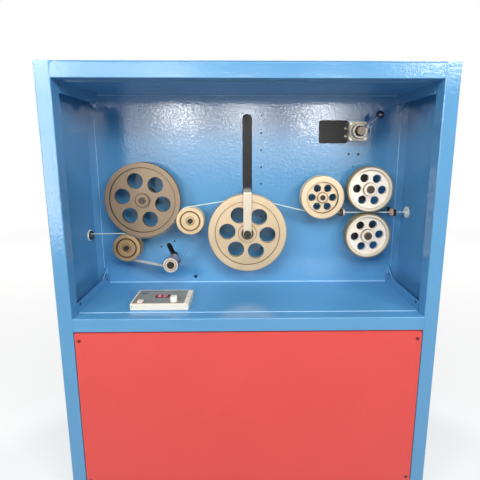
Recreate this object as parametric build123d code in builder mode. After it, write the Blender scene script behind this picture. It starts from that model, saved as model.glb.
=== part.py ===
from build123d import *
from math import acos, atan2, cos, degrees, hypot, radians, sin
import os

# Wire capstan: a belt-press wheel capstan with dancer, guide wheel and pinch rollers in an open
# work bay, on a steel cabinet. Millimetres. Origin on the floor at the middle of the cabinet,
# X to the right of someone at the bay, Y from the front to the back, Z up.

# Cabinet frame
cabinet_width = 1200.0
cabinet_depth = 640.0
tube = 45.0
tube_corner = 3.0
foot_height = 38.0
foot_radius = 22.0
foot_stem_radius = 7.0
foot_nut_radius = 12.0
shelf_height = 700.0
bay_height = 720.0
bay_depth = 318.0

# Sheet metal
sheet = 2.0
side_sheet = 3.0
panel_thickness = 3.0
panel_gap = 3.0
panel_corner = 3.0
shelf_flange = 34.0
ceiling_flange = 34.0
ceiling_lip = 3.0
rear_flange = 25.0
gusset_depth = 90.0
gusset_height = 60.0
gusset_hole_radius = 4.0
gusset_outset = 9.0
back_panel_lap = 20.0
lower_panel_return = 22.0
panel_screw_inset = 16.0
panel_screw_drop = 29.0
lug_size = 34.0
lug_thickness = 3.0
screw_hole_radius = 3.3

# Wire and belt
wire_radius = 2.0
wire_offset = 50.0
belt_width = 25.0
belt_thickness = 2.0
running_gap = 0.3

# Capstan wheel
capstan_x = -390.0
capstan_z = 339.0
capstan_radius = 139.0
capstan_width = 26.0
capstan_groove_depth = 2.0
capstan_groove_mouth = 8.0
capstan_ring_width = 19.0
capstan_web = 18.0
capstan_boss_radius = 27.0
capstan_boss_front = 16.0
capstan_bevel = 1.5
capstan_shaft_radius = 15.0
capstan_hole_circle = 75.0
capstan_hole_radius = 29.0
capstan_hole_turn = -11.0
capstan_screw_radius = 12.5

# Press belt and its rollers
nip_angle_in = 249.8
nip_angle_out = 336.3
roller_flange_radius = 51.0
roller_groove_radius = 46.1
roller_width = 44.0
roller_flange = 4.0
roller_rim_edge = 1.5
roller_ring_radius = 38.5
roller_ring_groove = 4.5
roller_ring_depth = 8.0
roller_step = 1.8
roller_step_outer = 26.0
roller_step_inner = 15.5
roller_boss_radius = 20.0
roller_back_recess = 12.0
axle_radius = 8.0
axle_sleeve_radius = 14.0
axle_head_radius = 9.6
axle_head_height = 8.0
socket_share = 0.55
tension_from_capstan = 101.0
tension_z = 101.0
tension_roller_radius = 23.0
tension_flange_radius = 27.0
tension_flange = 5.0
tension_ring_radius = 23.0
tension_land_radius = 20.0
tension_ring_depth = 3.0
tension_seat_radius = 13.0
tension_seat_depth = 6.0
tension_roller_start = 24.0
tension_roller_end = 95.0
tension_sleeve_radius = 18.0
tension_head_radius = 12.0
tension_block_width = 30.0
tension_block_height = 44.0
tension_block_depth = 10.0
tension_block_corner = 6.0
tension_stud_end = 6.0
tension_slot_width = 19.0
tension_slot_angle = 114.0
tension_slot_up = 56.0
tension_slot_down = 22.0

# Dancer
dancer_x = -4.0
dancer_z = 215.0
dancer_radius = 147.0
dancer_wire_radius = 130.0
dancer_width = 44.0
dancer_ring_width = 26.5
dancer_web_front = 18.0
dancer_web_back = 4.0
dancer_boss_radius = 33.0
dancer_boss_front = 23.0
dancer_seat_radius = 25.0
dancer_seat_depth = 5.0
dancer_hole_circle = 75.0
dancer_hole_radius = 30.6
dancer_hole_turn = -5.0
dancer_axle_radius = 10.0
dancer_nut_radius = 14.0
dancer_nut_height = 8.0
dancer_washer_height = 3.0
yoke_width = 30.0
yoke_thickness = 5.0
yoke_front = 78.0
yoke_reach = 153.0
yoke_bend = 8.0
slot_clearance = 3.0
slot_top_drop = 66.0
rail_x = 49.0
rail_low_z = 140.0
rail_top_drop = 71.2
rail_bolts = 9
rail_bolt_radius = 3.0
rail_width = 20.0
rail_depth = 16.0
carriage_thickness = 8.0
carriage_clearance = 2.0
carriage_cheek = 12.0
carriage_left_reach = 26.0
carriage_drop = 32.0
carriage_top = 6.0
rail_end_margin = 20.0

# Guide wheel
guide_to_pinch = 176.0
guide_z = 349.0
guide_radius = 80.0
guide_wire_radius = 66.0
guide_width = 44.0
guide_ring_width = 22.4
guide_web_front = 13.0
guide_web_back = 2.0
guide_boss_radius = 21.0
guide_boss_front = 20.0
guide_seat_radius = 17.0
guide_seat_depth = 3.0
guide_hole_circle = 38.4
guide_hole_radius = 14.1

# Pinch rollers
pinch_from_side = 106.0
pinch_low_z = 203.0
pinch_core_radius = 80.0
pinch_tyre_radius = 85.3
pinch_tyre_edge = 2.0
pinch_width = 36.0
pinch_lip_width = 7.0
pinch_web_front = 8.0
pinch_web_back = 4.0
pinch_recess_taper = 22.0
pinch_boss_radius = 24.0
pinch_boss_front = 18.0
pinch_hole_circle = 46.5
pinch_hole_radius = 16.0
upper_hole_turn = -3.0
lower_hole_turn = 5.0
pinch_shaft_radius = 12.0
pinch_screw_radius = 13.0
pinch_lift = 25.0

# Spindles and their bearing housings
spindle_end = 40.0
spindle_head_height = 6.0
housing_flange_radius = 46.0
housing_flange_depth = 11.0
housing_boss_radius = 32.0
housing_back = 22.0
capstan_housing_front = 31.0
pinch_housing_front = 30.0
slide_gap = 0.5
housing_clearance = 2.0

# Grooves and holes of the wheels
groove_mouth = 34.0
groove_bottom = 4.0
rim_bevel = 4.0
web_holes = 6

# Wire guides
inlet_to_pinch = 101.0
outlet_to_pinch = 97.0
holder_width = 10.0
holder_height = 24.0
holder_front = 64.0
eyelet_radius = 14.0
eyelet_bore = 5.0
wall_eyelet_radius = 21.0
wall_eyelet_flange = 3.0
left_collar_radius = 17.0
left_collar_reach = 5.0
left_eyelet_bore = 13.0
right_eyelet_bore = 7.0
left_eyelet_drop = 6.0

# Hand valve
valve_from_side = 155.0
valve_from_top = 131.0
valve_size = 68.0
valve_depth = 42.0
valve_corner = 8.0
turret_base_radius = 33.0
turret_base_depth = 8.0
turret_neck_radius = 24.5
turret_neck_depth = 3.0
turret_radius = 27.0
turret_edge = 2.0
turret_depth = 24.0
turret_ring_radius = 20.0
turret_ring_depth = 3.0
lever_hub_radius = 15.0
lever_hub_depth = 16.0
lever_angle = 40.0
lever_length = 86.0
lever_radius = 4.0
ball_radius = 14.0
cutout_width = 109.0
cutout_height = 85.0
cutout_lap = 8.0
cutout_corner = 9.0
spare_hole_radius = 4.0
small_hole_radius = 3.0
pin_hole_radius = 1.5
drain_hole_radius = 6.0
drain_hole_z = 23.0

# Speed controller
controller_from_side = 160.0
controller_width = 194.0
controller_front = 64.0
controller_depth = 121.0
controller_height = 21.0
face_border = 5.0
face_border_right = 16.0
face_thickness = 1.0
display_from_left = 96.0
display_from_front = 62.0
display_width = 44.0
display_depth = 22.0
knob_from_left = 142.0
knob_from_front = 22.0
knob_radius = 12.0
knob_height = 18.0
rocker_from_left = 31.0
rocker_from_front = 19.0
rocker_length = 17.0
rocker_width = 18.0

# Sizes that follow from the ones above
half_width = cabinet_width / 2
front_y = -cabinet_depth / 2
rear_y = cabinet_depth / 2
opening_half = half_width - tube
tension_x = capstan_x + tension_from_capstan
controller_left = controller_from_side - opening_half
pinch_x = opening_half - pinch_from_side
guide_x = pinch_x - guide_to_pinch
inlet_guide_x = pinch_x - inlet_to_pinch
outlet_guide_x = pinch_x + outlet_to_pinch
valve_x = opening_half - valve_from_side
valve_z = bay_height - valve_from_top
cutout_x = valve_x - valve_size / 2 + cutout_lap - cutout_width / 2
panel_y = front_y + bay_depth
wire_y = panel_y - wire_offset
bay_top = shelf_height + bay_height
frame_top = bay_top + tube
side_inner_x = half_width - side_sheet
mid_post_y = panel_y + panel_thickness
guide_seat_face = guide_boss_front - guide_seat_depth
roller_contact = roller_groove_radius + running_gap
wire_on_capstan = capstan_radius - capstan_groove_depth + running_gap + wire_radius
belt_on_capstan = wire_on_capstan + wire_radius + running_gap
roller_distance = belt_on_capstan + belt_thickness + roller_contact
wire_on_roller = roller_contact + belt_thickness + running_gap + wire_radius
press_x = capstan_x + roller_distance * cos(radians(nip_angle_in))
press_z = capstan_z + roller_distance * sin(radians(nip_angle_in))
pulley_x = capstan_x + roller_distance * cos(radians(nip_angle_out))
pulley_z = capstan_z + roller_distance * sin(radians(nip_angle_out))
tension_contact = tension_roller_radius + running_gap
wire_low_z = press_z + wire_on_roller
pinch_wire_z = pinch_low_z + pinch_tyre_radius + running_gap + wire_radius
pinch_high_z = pinch_wire_z + wire_radius + running_gap + pinch_tyre_radius
slot_width = yoke_width + 2 * slot_clearance
yoke_top_z = dancer_z + yoke_reach + yoke_thickness
slot_low_z = dancer_z - slot_width / 2
slot_end_rise = (slot_width - (slot_width**2 - yoke_width**2) ** 0.5) / 2
slot_high_z = bay_height - slot_top_drop
dancer_travel = slot_high_z - yoke_top_z - slot_end_rise - slot_clearance
rail_pitch = (bay_height - rail_top_drop - rail_low_z) / (rail_bolts - 1)


def bay(z):
    # Height above the floor of a height above the shelf
    return shelf_height + z


def front_plane(x, offset, z):
    # Plane facing the front, offset in front of the back panel, z above the shelf
    return Plane(origin=(x, panel_y - offset, bay(z)), x_dir=(1, 0, 0), z_dir=(0, -1, 0))


def turning_plane(x, z):
    # Plane of a half section: local x is the radius and local y the depth behind the wire
    return Plane(origin=(x, wire_y, bay(z)))


def depth_axis(x, z):
    return Axis((x, wire_y, bay(z)), (0, 1, 0))


def save(block, name):
    block.part.label = name
    export_step(block.part, f"parts/{name}.step")


os.makedirs("parts", exist_ok=True)

# Upright square tubes

def uprights(rows, low, high):
    post_x = half_width - tube / 2
    with BuildPart() as posts:
        with BuildSketch(Plane.XY.offset(low)):
            for y in rows:
                with Locations((-post_x, y), (post_x, y)):
                    RectangleRounded(tube, tube, tube_corner)
        extrude(amount=high - low)
    return posts


corner_posts = uprights((front_y + tube / 2, rear_y - tube / 2), foot_height, frame_top)
save(corner_posts, "corner_posts")

middle_posts = uprights((mid_post_y + tube / 2,), shelf_height, bay_top)
save(middle_posts, "middle_posts")

# Cross rails at the bottom, at the shelf and at the top
rail_levels = (foot_height + tube / 2, shelf_height - tube / 2, bay_top + tube / 2)
with BuildPart() as cross_rails:
    with BuildSketch(Plane.YZ.offset(-opening_half)):
        for y in (front_y + tube / 2, rear_y - tube / 2):
            with Locations(*[(y, level) for level in rail_levels]):
                RectangleRounded(tube, tube, tube_corner)
    extrude(amount=2 * opening_half)
save(cross_rails, "cross_rails")

# Rails from the front posts to the rear posts
with BuildPart() as side_rails:
    with BuildSketch(Plane.XZ.offset(-front_y - tube)):
        for x in (-half_width + tube / 2, half_width - tube / 2):
            with Locations(*[(x, level) for level in rail_levels]):
                RectangleRounded(tube, tube, tube_corner)
    extrude(amount=-(cabinet_depth - 2 * tube))
save(side_rails, "side_rails")

# Levelling feet: pad, stem and lock nut, under each corner post
foot_pad_edge = 4.0
foot_pad_height = 14.0
foot_nut_height = 8.0
with BuildPart() as levelling_feet:
    for x in (-half_width + tube / 2, half_width - tube / 2):
        for y in (front_y + tube / 2, rear_y - tube / 2):
            with BuildSketch(Plane(origin=(x, y, 0), x_dir=(1, 0, 0), z_dir=(0, -1, 0))):
                with BuildLine():
                    Polyline(
                        (0, 0),
                        (foot_radius, 0),
                        (foot_radius, foot_pad_edge),
                        (foot_nut_radius, foot_pad_height),
                        (foot_stem_radius, foot_pad_height),
                        (foot_stem_radius, foot_height - foot_nut_height),
                        (foot_nut_radius, foot_height - foot_nut_height),
                        (foot_nut_radius, foot_height),
                        (0, foot_height),
                        close=True,
                    )
                make_face()
            revolve(axis=Axis((x, y, 0), (0, 0, 1)))
save(levelling_feet, "levelling_feet")

# Side panels of the work bay, let in between the tubes, each with the bore for a wire eyelet
# and a flange folded inwards over the edge of the back panel
eyelet_neck_radius = 16.0
left_eyelet_z = wire_low_z - left_eyelet_drop
side_panel_start = front_y + tube
with BuildPart() as bay_side_panels:
    for side, eyelet_z in ((-1, left_eyelet_z), (1, pinch_wire_z)):
        with BuildSketch(Plane.YZ.offset(side * side_inner_x)):
            with Locations(((side_panel_start + mid_post_y) / 2, shelf_height + bay_height / 2)):
                Rectangle(mid_post_y - side_panel_start, bay_height)
            with Locations((wire_y, bay(eyelet_z))):
                Circle(eyelet_neck_radius + running_gap, mode=Mode.SUBTRACT)
        extrude(amount=side * side_sheet)
        with BuildSketch(Plane.XY.offset(shelf_height)):
            with Locations((side * (side_inner_x - rear_flange / 2), panel_y - side_sheet / 2)):
                Rectangle(rear_flange, side_sheet)
        extrude(amount=bay_height)
save(bay_side_panels, "bay_side_panels")

# Side panels of the drive compartment behind the middle posts, and of the base
base_low = foot_height + tube
base_high = shelf_height - tube
drive_start = mid_post_y + tube
drive_end = rear_y - tube
with BuildPart() as side_cover_panels:
    for side in (-1, 1):
        with BuildSketch(Plane.YZ.offset(side * side_inner_x)):
            with Locations(((drive_start + drive_end) / 2, shelf_height + bay_height / 2)):
                Rectangle(drive_end - drive_start, bay_height)
            with Locations((0, (base_low + base_high) / 2)):
                Rectangle(cabinet_depth - 2 * tube, base_high - base_low)
        extrude(amount=side * side_sheet)
save(side_cover_panels, "side_cover_panels")


def folded_panels(facing, spans):
    # Sheets with their four edges folded inwards, flush with the tubes around them, one for each
    # (low, high) span; facing is -1 at the front and 1 at the back
    width = 2 * (opening_half - panel_gap)
    screw_x = opening_half - panel_screw_inset
    with BuildPart() as panels:
        for low, high in spans:
            height = high - low - 2 * panel_gap
            screw_z = (high - low) / 2 - panel_screw_drop
            outer = Plane(
                origin=(0, facing * cabinet_depth / 2, (low + high) / 2),
                x_dir=(-facing, 0, 0),
                z_dir=(0, facing, 0),
            )
            with BuildSketch(outer):
                RectangleRounded(width, height, panel_corner)
            extrude(amount=-lower_panel_return)
            with BuildSketch(outer.offset(-sheet)):
                Rectangle(width - 2 * sheet, height - 2 * sheet)
            extrude(amount=sheet - lower_panel_return, mode=Mode.SUBTRACT)
            with BuildSketch(outer):
                with GridLocations(2 * screw_x, 2 * screw_z, 2, 2):
                    Circle(screw_hole_radius)
            extrude(amount=-sheet, mode=Mode.SUBTRACT)
    return panels


front_lower_panel = folded_panels(-1, [(base_low, base_high)])
save(front_lower_panel, "front_lower_panel")

rear_panels = folded_panels(1, [(base_low, base_high), (shelf_height, bay_top)])
save(rear_panels, "rear_panels")

# Lugs on the posts that the panel screws go into
base_levels = (base_low + panel_screw_drop, base_high - panel_screw_drop)
rear_levels = base_levels + (shelf_height + panel_screw_drop, bay_top - panel_screw_drop)
with BuildPart() as panel_lugs:
    for facing, levels in ((-1, base_levels), (1, rear_levels)):
        lug_y = facing * (cabinet_depth / 2 - lower_panel_return - running_gap)
        with BuildSketch(Plane(origin=(0, lug_y, 0), x_dir=(-facing, 0, 0), z_dir=(0, facing, 0))):
            for level in levels:
                for side in (-1, 1):
                    with Locations((side * (opening_half - lug_size / 2), level)):
                        Rectangle(lug_size, lug_size)
                    with Locations((side * (opening_half - panel_screw_inset), level)):
                        Circle(screw_hole_radius, mode=Mode.SUBTRACT)
        extrude(amount=-lug_thickness)
save(panel_lugs, "panel_lugs")

# Top cover on the frame, and floor plate between the bottom rails
with BuildPart() as top_cover:
    with BuildSketch(Plane.XY.offset(frame_top)):
        Rectangle(cabinet_width, cabinet_depth)
    extrude(amount=sheet)
    fillet(top_cover.edges().filter_by(Axis.Z), tube_corner)
save(top_cover, "top_cover")

with BuildPart() as floor_plate:
    with BuildSketch(Plane.XY.offset(foot_height + tube / 2)):
        Rectangle(2 * opening_half, cabinet_depth - 2 * tube)
    extrude(amount=sheet)
save(floor_plate, "floor_plate")

# Bay floor: a plate behind the front rail with upturned side flanges, a bolt hole near the
# front end of each, and the mirrored plate under the top rails
flange_hole_inset = 12.0
flange_hole_radius = 4.0
plate_front_y = front_y + tube
plate_depth = panel_y - plate_front_y


def bay_plate(level, turn, flange, lip):
    # turn is 1 where the flanges stand up from the plate and -1 where they hang from it
    with BuildPart() as plate:
        with BuildSketch(Plane.XY.offset(level)):
            with Locations((0, plate_front_y + plate_depth / 2)):
                Rectangle(2 * opening_half, plate_depth)
        extrude(amount=-turn * sheet)
        with BuildSketch(Plane.XY.offset(level)):
            for side in (-1, 1):
                with Locations((side * (opening_half - sheet / 2), plate_front_y + plate_depth / 2)):
                    Rectangle(sheet, plate_depth)
        extrude(amount=turn * flange)
        if lip > 0:
            with BuildSketch(Plane.XY.offset(level)):
                with Locations((0, plate_front_y + sheet / 2)):
                    Rectangle(2 * opening_half, sheet)
            extrude(amount=turn * lip)
        hole_y = plate_front_y + flange_hole_inset
        with BuildSketch(Plane.YZ.offset(-opening_half)):
            with Locations((hole_y, level + turn * (flange - flange_hole_inset / 2 - 2))):
                Circle(flange_hole_radius)
        extrude(amount=2 * opening_half, mode=Mode.SUBTRACT)
    return plate


shelf_plate = bay_plate(shelf_height, 1, shelf_flange, 0)
save(shelf_plate, "shelf_plate")

ceiling_plate = bay_plate(bay_top, -1, ceiling_flange, ceiling_lip)
save(ceiling_plate, "ceiling_plate")

# Triangular gussets on the side rails, in the four corners where they meet the back panel
with BuildPart() as corner_gussets:
    for level, turn in ((shelf_height, 1), (bay_top, -1)):
        for side in (-1, 1):
            outer_x = side * (opening_half + gusset_outset)
            with BuildSketch(Plane.YZ.offset(outer_x)):
                with BuildLine():
                    Polyline(
                        (panel_y, level),
                        (panel_y - gusset_depth, level),
                        (panel_y, level + turn * gusset_height),
                        close=True,
                    )
                make_face()
                with Locations((panel_y - gusset_depth / 2, level + turn * gusset_height / 4)):
                    Circle(gusset_hole_radius, mode=Mode.SUBTRACT)
            extrude(amount=-side * panel_thickness)
save(corner_gussets, "corner_gussets")

# Back panel with the dancer slot, the tension slot, the hose cut-out and its bolt holes
back_half = opening_half + back_panel_lap
spindle_bore = housing_boss_radius + housing_clearance
pinch_slot_width = 2 * spindle_bore
with BuildPart() as back_panel:
    panel_plane = front_plane(0, 0, 0)
    with BuildSketch(panel_plane):
        with Locations((0, bay_height / 2)):
            Rectangle(2 * back_half, bay_height)
        with Locations((dancer_x, (slot_low_z + slot_high_z) / 2)):
            SlotOverall(slot_high_z - slot_low_z, slot_width, rotation=90, mode=Mode.SUBTRACT)
        with Locations((cutout_x, valve_z)):
            RectangleRounded(cutout_width, cutout_height, cutout_corner, mode=Mode.SUBTRACT)
        slot_mid = (tension_slot_up - tension_slot_down) / 2
        slot_mid_x = tension_x + slot_mid * cos(radians(tension_slot_angle))
        slot_mid_z = tension_z + slot_mid * sin(radians(tension_slot_angle))
        with Locations((slot_mid_x, slot_mid_z)):
            SlotCenterToCenter(
                tension_slot_up + tension_slot_down,
                tension_slot_width,
                rotation=tension_slot_angle,
                mode=Mode.SUBTRACT,
            )
        with Locations(*[(rail_x, rail_low_z + n * rail_pitch) for n in range(rail_bolts)]):
            Circle(rail_bolt_radius, mode=Mode.SUBTRACT)
        with Locations((capstan_x, capstan_z), (pinch_x, pinch_low_z)):
            Circle(spindle_bore, mode=Mode.SUBTRACT)
        with Locations((pinch_x, pinch_high_z + pinch_lift / 2)):
            SlotOverall(
                pinch_slot_width + pinch_lift, pinch_slot_width, rotation=90, mode=Mode.SUBTRACT
            )
        with Locations((valve_x - 19, valve_z - 83), (valve_x + 18, valve_z - 83)):
            Circle(spare_hole_radius, mode=Mode.SUBTRACT)
        with Locations(
            (valve_x, valve_z - 129),
            (tension_x - 1, tension_z + 68),
            (tension_x - 53, tension_z + 45),
        ):
            Circle(small_hole_radius, mode=Mode.SUBTRACT)
        with Locations((valve_x - 28, valve_z + 58)):
            Circle(pin_hole_radius, mode=Mode.SUBTRACT)
        with Locations((tension_x + 79, drain_hole_z)):
            Circle(drain_hole_radius, mode=Mode.SUBTRACT)
    extrude(amount=-panel_thickness)
save(back_panel, "back_panel")


def turned(x, z, points):
    # Round piece about a line along Y, from its half section in (radius, depth) points
    with BuildPart() as block:
        with BuildSketch(turning_plane(x, z)):
            with BuildLine():
                Polyline(*points, close=True)
            make_face()
        revolve(axis=depth_axis(x, z))
    return block


def grooved_rim(x, z, radius, width, bevel, floor, mouth):
    # Solid disc about the wire's plane, with rounded edges and a tapered groove round it
    with BuildPart() as block:
        with BuildSketch(front_plane(x, wire_offset - width / 2, z)):
            Circle(radius)
        extrude(amount=width)
        fillet(block.edges().filter_by(GeomType.CIRCLE), bevel)
        with BuildSketch(turning_plane(x, z)):
            with BuildLine():
                Polyline(
                    (radius + 1, -mouth / 2),
                    (radius, -mouth / 2),
                    (floor, -groove_bottom / 2),
                    (floor, groove_bottom / 2),
                    (radius, mouth / 2),
                    (radius + 1, mouth / 2),
                    close=True,
                )
            make_face()
        revolve(axis=depth_axis(x, z), mode=Mode.SUBTRACT)
    return block


def webbed(rim, x, z, width, inner, web_front, web_back, taper=0):
    # The disc with a recess in each face inside its rim, which leaves a web between them
    with BuildPart() as block:
        add(rim.part)
        with BuildSketch(front_plane(x, wire_offset + width / 2, z)):
            Circle(inner)
        extrude(amount=web_front - width / 2, taper=taper, mode=Mode.SUBTRACT)
        with BuildSketch(front_plane(x, wire_offset - width / 2, z)):
            Circle(inner)
        extrude(amount=width / 2 - web_back, taper=taper, mode=Mode.SUBTRACT)
    return block


def drilled(wheel, x, z, boss, front, back, bore, circle, hole, turn):
    # The wheel with a boss on both faces, its bore, and six holes through the web
    with BuildPart() as block:
        add(wheel.part)
        with BuildSketch(front_plane(x, wire_offset - back, z)):
            Circle(boss)
        extrude(amount=front + back)
        with BuildSketch(front_plane(x, wire_offset, z)):
            Circle(bore)
            with PolarLocations(circle, web_holes, start_angle=turn):
                Circle(hole)
        extrude(amount=front + back, both=True, mode=Mode.SUBTRACT)
    return block


def seated(wheel, x, z, front, radius, depth):
    # The wheel with a round bearing seat sunk in the front of its boss
    with BuildPart() as block:
        add(wheel.part)
        with BuildSketch(front_plane(x, wire_offset + front, z)):
            Circle(radius)
        extrude(amount=-depth, mode=Mode.SUBTRACT)
    return block


# Capstan wheel: plain rim with a shallow wire groove, web with six holes, raised boss
capstan_blank = grooved_rim(
    capstan_x,
    capstan_z,
    capstan_radius,
    capstan_width,
    capstan_bevel,
    capstan_radius - capstan_groove_depth,
    capstan_groove_mouth,
)
capstan_disc = webbed(
    capstan_blank,
    capstan_x,
    capstan_z,
    capstan_width,
    capstan_radius - capstan_ring_width,
    capstan_web / 2,
    capstan_web / 2,
)
capstan_wheel = drilled(
    capstan_disc,
    capstan_x,
    capstan_z,
    capstan_boss_radius,
    capstan_boss_front,
    capstan_width / 2,
    capstan_shaft_radius,
    capstan_hole_circle,
    capstan_hole_radius,
    capstan_hole_turn,
)
save(capstan_wheel, "capstan_wheel")


# Spindles: a shaft that turns with its wheel, with a socket screw on its front end
def spindle(x, z, radius, front, head_radius):
    back = wire_offset + panel_thickness + spindle_end
    head_front = -front - spindle_head_height
    socket = head_radius * socket_share
    return turned(
        x,
        z,
        [
            (0, -front),
            (0, back),
            (radius, back),
            (radius, -front),
            (head_radius, -front),
            (head_radius, head_front),
            (socket, head_front),
            (socket, head_front + spindle_head_height / 2),
            (0, head_front + spindle_head_height / 2),
        ],
    )


capstan_shaft = spindle(
    capstan_x, capstan_z, capstan_shaft_radius, capstan_boss_front, capstan_screw_radius
)
save(capstan_shaft, "capstan_shaft")


# Bearing housings behind the driven wheels: flange on the panel, boss on both sides of it
def bearing_housing(x, z, shaft_radius, lift_gap, front_gap):
    front = wire_offset - front_gap
    face = wire_offset - lift_gap
    back = wire_offset + panel_thickness + housing_back
    bore = shaft_radius + running_gap
    return turned(
        x,
        z,
        [
            (bore, front),
            (housing_boss_radius, front),
            (housing_boss_radius, face - housing_flange_depth),
            (housing_flange_radius, face - housing_flange_depth),
            (housing_flange_radius, face),
            (housing_boss_radius, face),
            (housing_boss_radius, back),
            (bore, back),
        ],
    )


capstan_bearing = bearing_housing(
    capstan_x, capstan_z, capstan_shaft_radius, 0, capstan_housing_front
)
lower_pinch_bearing = bearing_housing(
    pinch_x, pinch_low_z, pinch_shaft_radius, 0, pinch_housing_front
)
with BuildPart() as spindle_bearings:
    add(capstan_bearing.part)
    add(lower_pinch_bearing.part)
save(spindle_bearings, "spindle_bearings")

# Slide housing of the upper pinch roller, which goes up and down in the panel's long slot
upper_pinch_slide = bearing_housing(
    pinch_x, pinch_high_z, pinch_shaft_radius, slide_gap, pinch_housing_front
)
save(upper_pinch_slide, "upper_pinch_slide")

# Press roller and guide pulley: belt groove between two flanges, ring groove and steps in front
roller_inner_half = roller_width / 2 - roller_flange
roller_face = roller_width / 2 - 3 * roller_step


def belt_roller(x, z):
    front = front_plane(x, wire_offset + roller_width / 2, z)
    back = front_plane(x, wire_offset - roller_width / 2, z)
    land_radius = roller_ring_radius - roller_ring_groove
    steps = (land_radius, roller_step_outer, roller_step_inner)
    with BuildPart() as roller:
        with BuildSketch(back):
            Circle(roller_flange_radius)
        extrude(amount=roller_width)
        fillet(roller.edges().filter_by(GeomType.CIRCLE), roller_rim_edge)
        with BuildSketch(back.offset(roller_flange)):
            Circle(roller_flange_radius + 1)
            Circle(roller_groove_radius, mode=Mode.SUBTRACT)
        extrude(amount=2 * roller_inner_half, mode=Mode.SUBTRACT)
        with BuildSketch(front):
            Circle(roller_ring_radius)
            Circle(land_radius, mode=Mode.SUBTRACT)
        extrude(amount=-roller_ring_depth, mode=Mode.SUBTRACT)
        for count, radius in enumerate(steps, start=1):
            with BuildSketch(front):
                Circle(radius)
            extrude(amount=-count * roller_step, mode=Mode.SUBTRACT)
        with BuildSketch(back):
            Circle(roller_ring_radius)
            Circle(roller_boss_radius, mode=Mode.SUBTRACT)
        extrude(amount=roller_back_recess, mode=Mode.SUBTRACT)
        with BuildSketch(back):
            Circle(axle_radius + running_gap)
        extrude(amount=roller_width, mode=Mode.SUBTRACT)
    return roller


press_roller = belt_roller(press_x, press_z)
save(press_roller, "press_roller")

guide_pulley = belt_roller(pulley_x, pulley_z)
save(guide_pulley, "guide_pulley")


# Shoulder screws with a spacer sleeve between the panel and a roller or wheel
def roller_axle(x, z, back_face, front_face):
    sleeve_end = back_face + running_gap
    head_back = -front_face - running_gap
    head_front = head_back - axle_head_height
    socket = axle_head_radius * socket_share
    return turned(
        x,
        z,
        [
            (0, wire_offset),
            (axle_sleeve_radius, wire_offset),
            (axle_sleeve_radius, sleeve_end),
            (axle_radius, sleeve_end),
            (axle_radius, head_back),
            (axle_head_radius, head_back),
            (axle_head_radius, head_front),
            (socket, head_front),
            (socket, head_front + axle_head_height / 2),
            (0, head_front + axle_head_height / 2),
        ],
    )


with BuildPart() as roller_axles:
    add(roller_axle(press_x, press_z, roller_width / 2, roller_face).part)
    add(roller_axle(pulley_x, pulley_z, roller_width / 2, roller_face).part)
    add(roller_axle(guide_x, guide_z, guide_width / 2, guide_seat_face).part)
save(roller_axles, "roller_axles")

# Tension roller: long plain roller with a flange, a ring groove and a seat at its front end
tension_length = tension_roller_end - tension_roller_start
with BuildPart() as tension_roller:
    with BuildSketch(front_plane(tension_x, tension_roller_start, tension_z)):
        Circle(tension_roller_radius)
    extrude(amount=tension_length)
    with BuildSketch(front_plane(tension_x, tension_roller_end, tension_z)):
        Circle(tension_flange_radius)
    extrude(amount=-tension_flange)
    with BuildSketch(front_plane(tension_x, tension_roller_end, tension_z)):
        Circle(tension_ring_radius)
        Circle(tension_land_radius, mode=Mode.SUBTRACT)
    extrude(amount=-tension_ring_depth, mode=Mode.SUBTRACT)
    with BuildSketch(front_plane(tension_x, tension_roller_end, tension_z)):
        Circle(tension_seat_radius)
    extrude(amount=-tension_seat_depth, mode=Mode.SUBTRACT)
    with BuildSketch(front_plane(tension_x, tension_roller_start, tension_z)):
        Circle(axle_radius + running_gap)
    extrude(amount=tension_length, mode=Mode.SUBTRACT)
save(tension_roller, "tension_roller")

# Tension block: clamped on the panel over its slanted slot, with the roller's screw
screw_start = tension_roller_start - running_gap
screw_face = tension_roller_end - tension_seat_depth + running_gap
with BuildPart() as tension_block:
    with BuildSketch(front_plane(tension_x, 0, tension_z)):
        RectangleRounded(
            tension_block_width,
            tension_block_height,
            tension_block_corner,
            rotation=tension_slot_angle - 90,
        )
    extrude(amount=tension_block_depth)
    with BuildSketch(front_plane(tension_x, tension_block_depth, tension_z)):
        Circle(tension_sleeve_radius)
    extrude(amount=screw_start - tension_block_depth)
    with BuildSketch(front_plane(tension_x, 0, tension_z)):
        Circle(tension_slot_width / 2 - running_gap)
    extrude(amount=-panel_thickness - tension_stud_end)
    with BuildSketch(front_plane(tension_x, screw_start, tension_z)):
        Circle(axle_radius)
    extrude(amount=screw_face - screw_start)
    with BuildSketch(front_plane(tension_x, screw_face, tension_z)):
        Circle(tension_head_radius)
    extrude(amount=axle_head_height)
    with BuildSketch(front_plane(tension_x, screw_face + axle_head_height, tension_z)):
        RegularPolygon(tension_head_radius * socket_share, 6)
    extrude(amount=-axle_head_height / 2, mode=Mode.SUBTRACT)
save(tension_block, "tension_block")


# Press belt: one endless flat band round the three rollers, pressed in along the capstan
def towards(centre, radius, angle):
    return (centre[0] + radius * cos(radians(angle)), centre[1] + radius * sin(radians(angle)))


def bearing_angle(start, end):
    return degrees(atan2(end[1] - start[1], end[0] - start[0]))


def outer_tangent(start, start_radius, end, end_radius):
    # Direction from each centre to a line that passes both circles on the right of the way
    span = hypot(end[0] - start[0], end[1] - start[1])
    return bearing_angle(start, end) - degrees(acos((start_radius - end_radius) / span))


capstan_centre = (capstan_x, capstan_z)
press_centre = (press_x, press_z)
pulley_centre = (pulley_x, pulley_z)
tension_centre = (tension_x, tension_z)
dancer_centre = (dancer_x, dancer_z)
guide_centre = (guide_x, guide_z)


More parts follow.
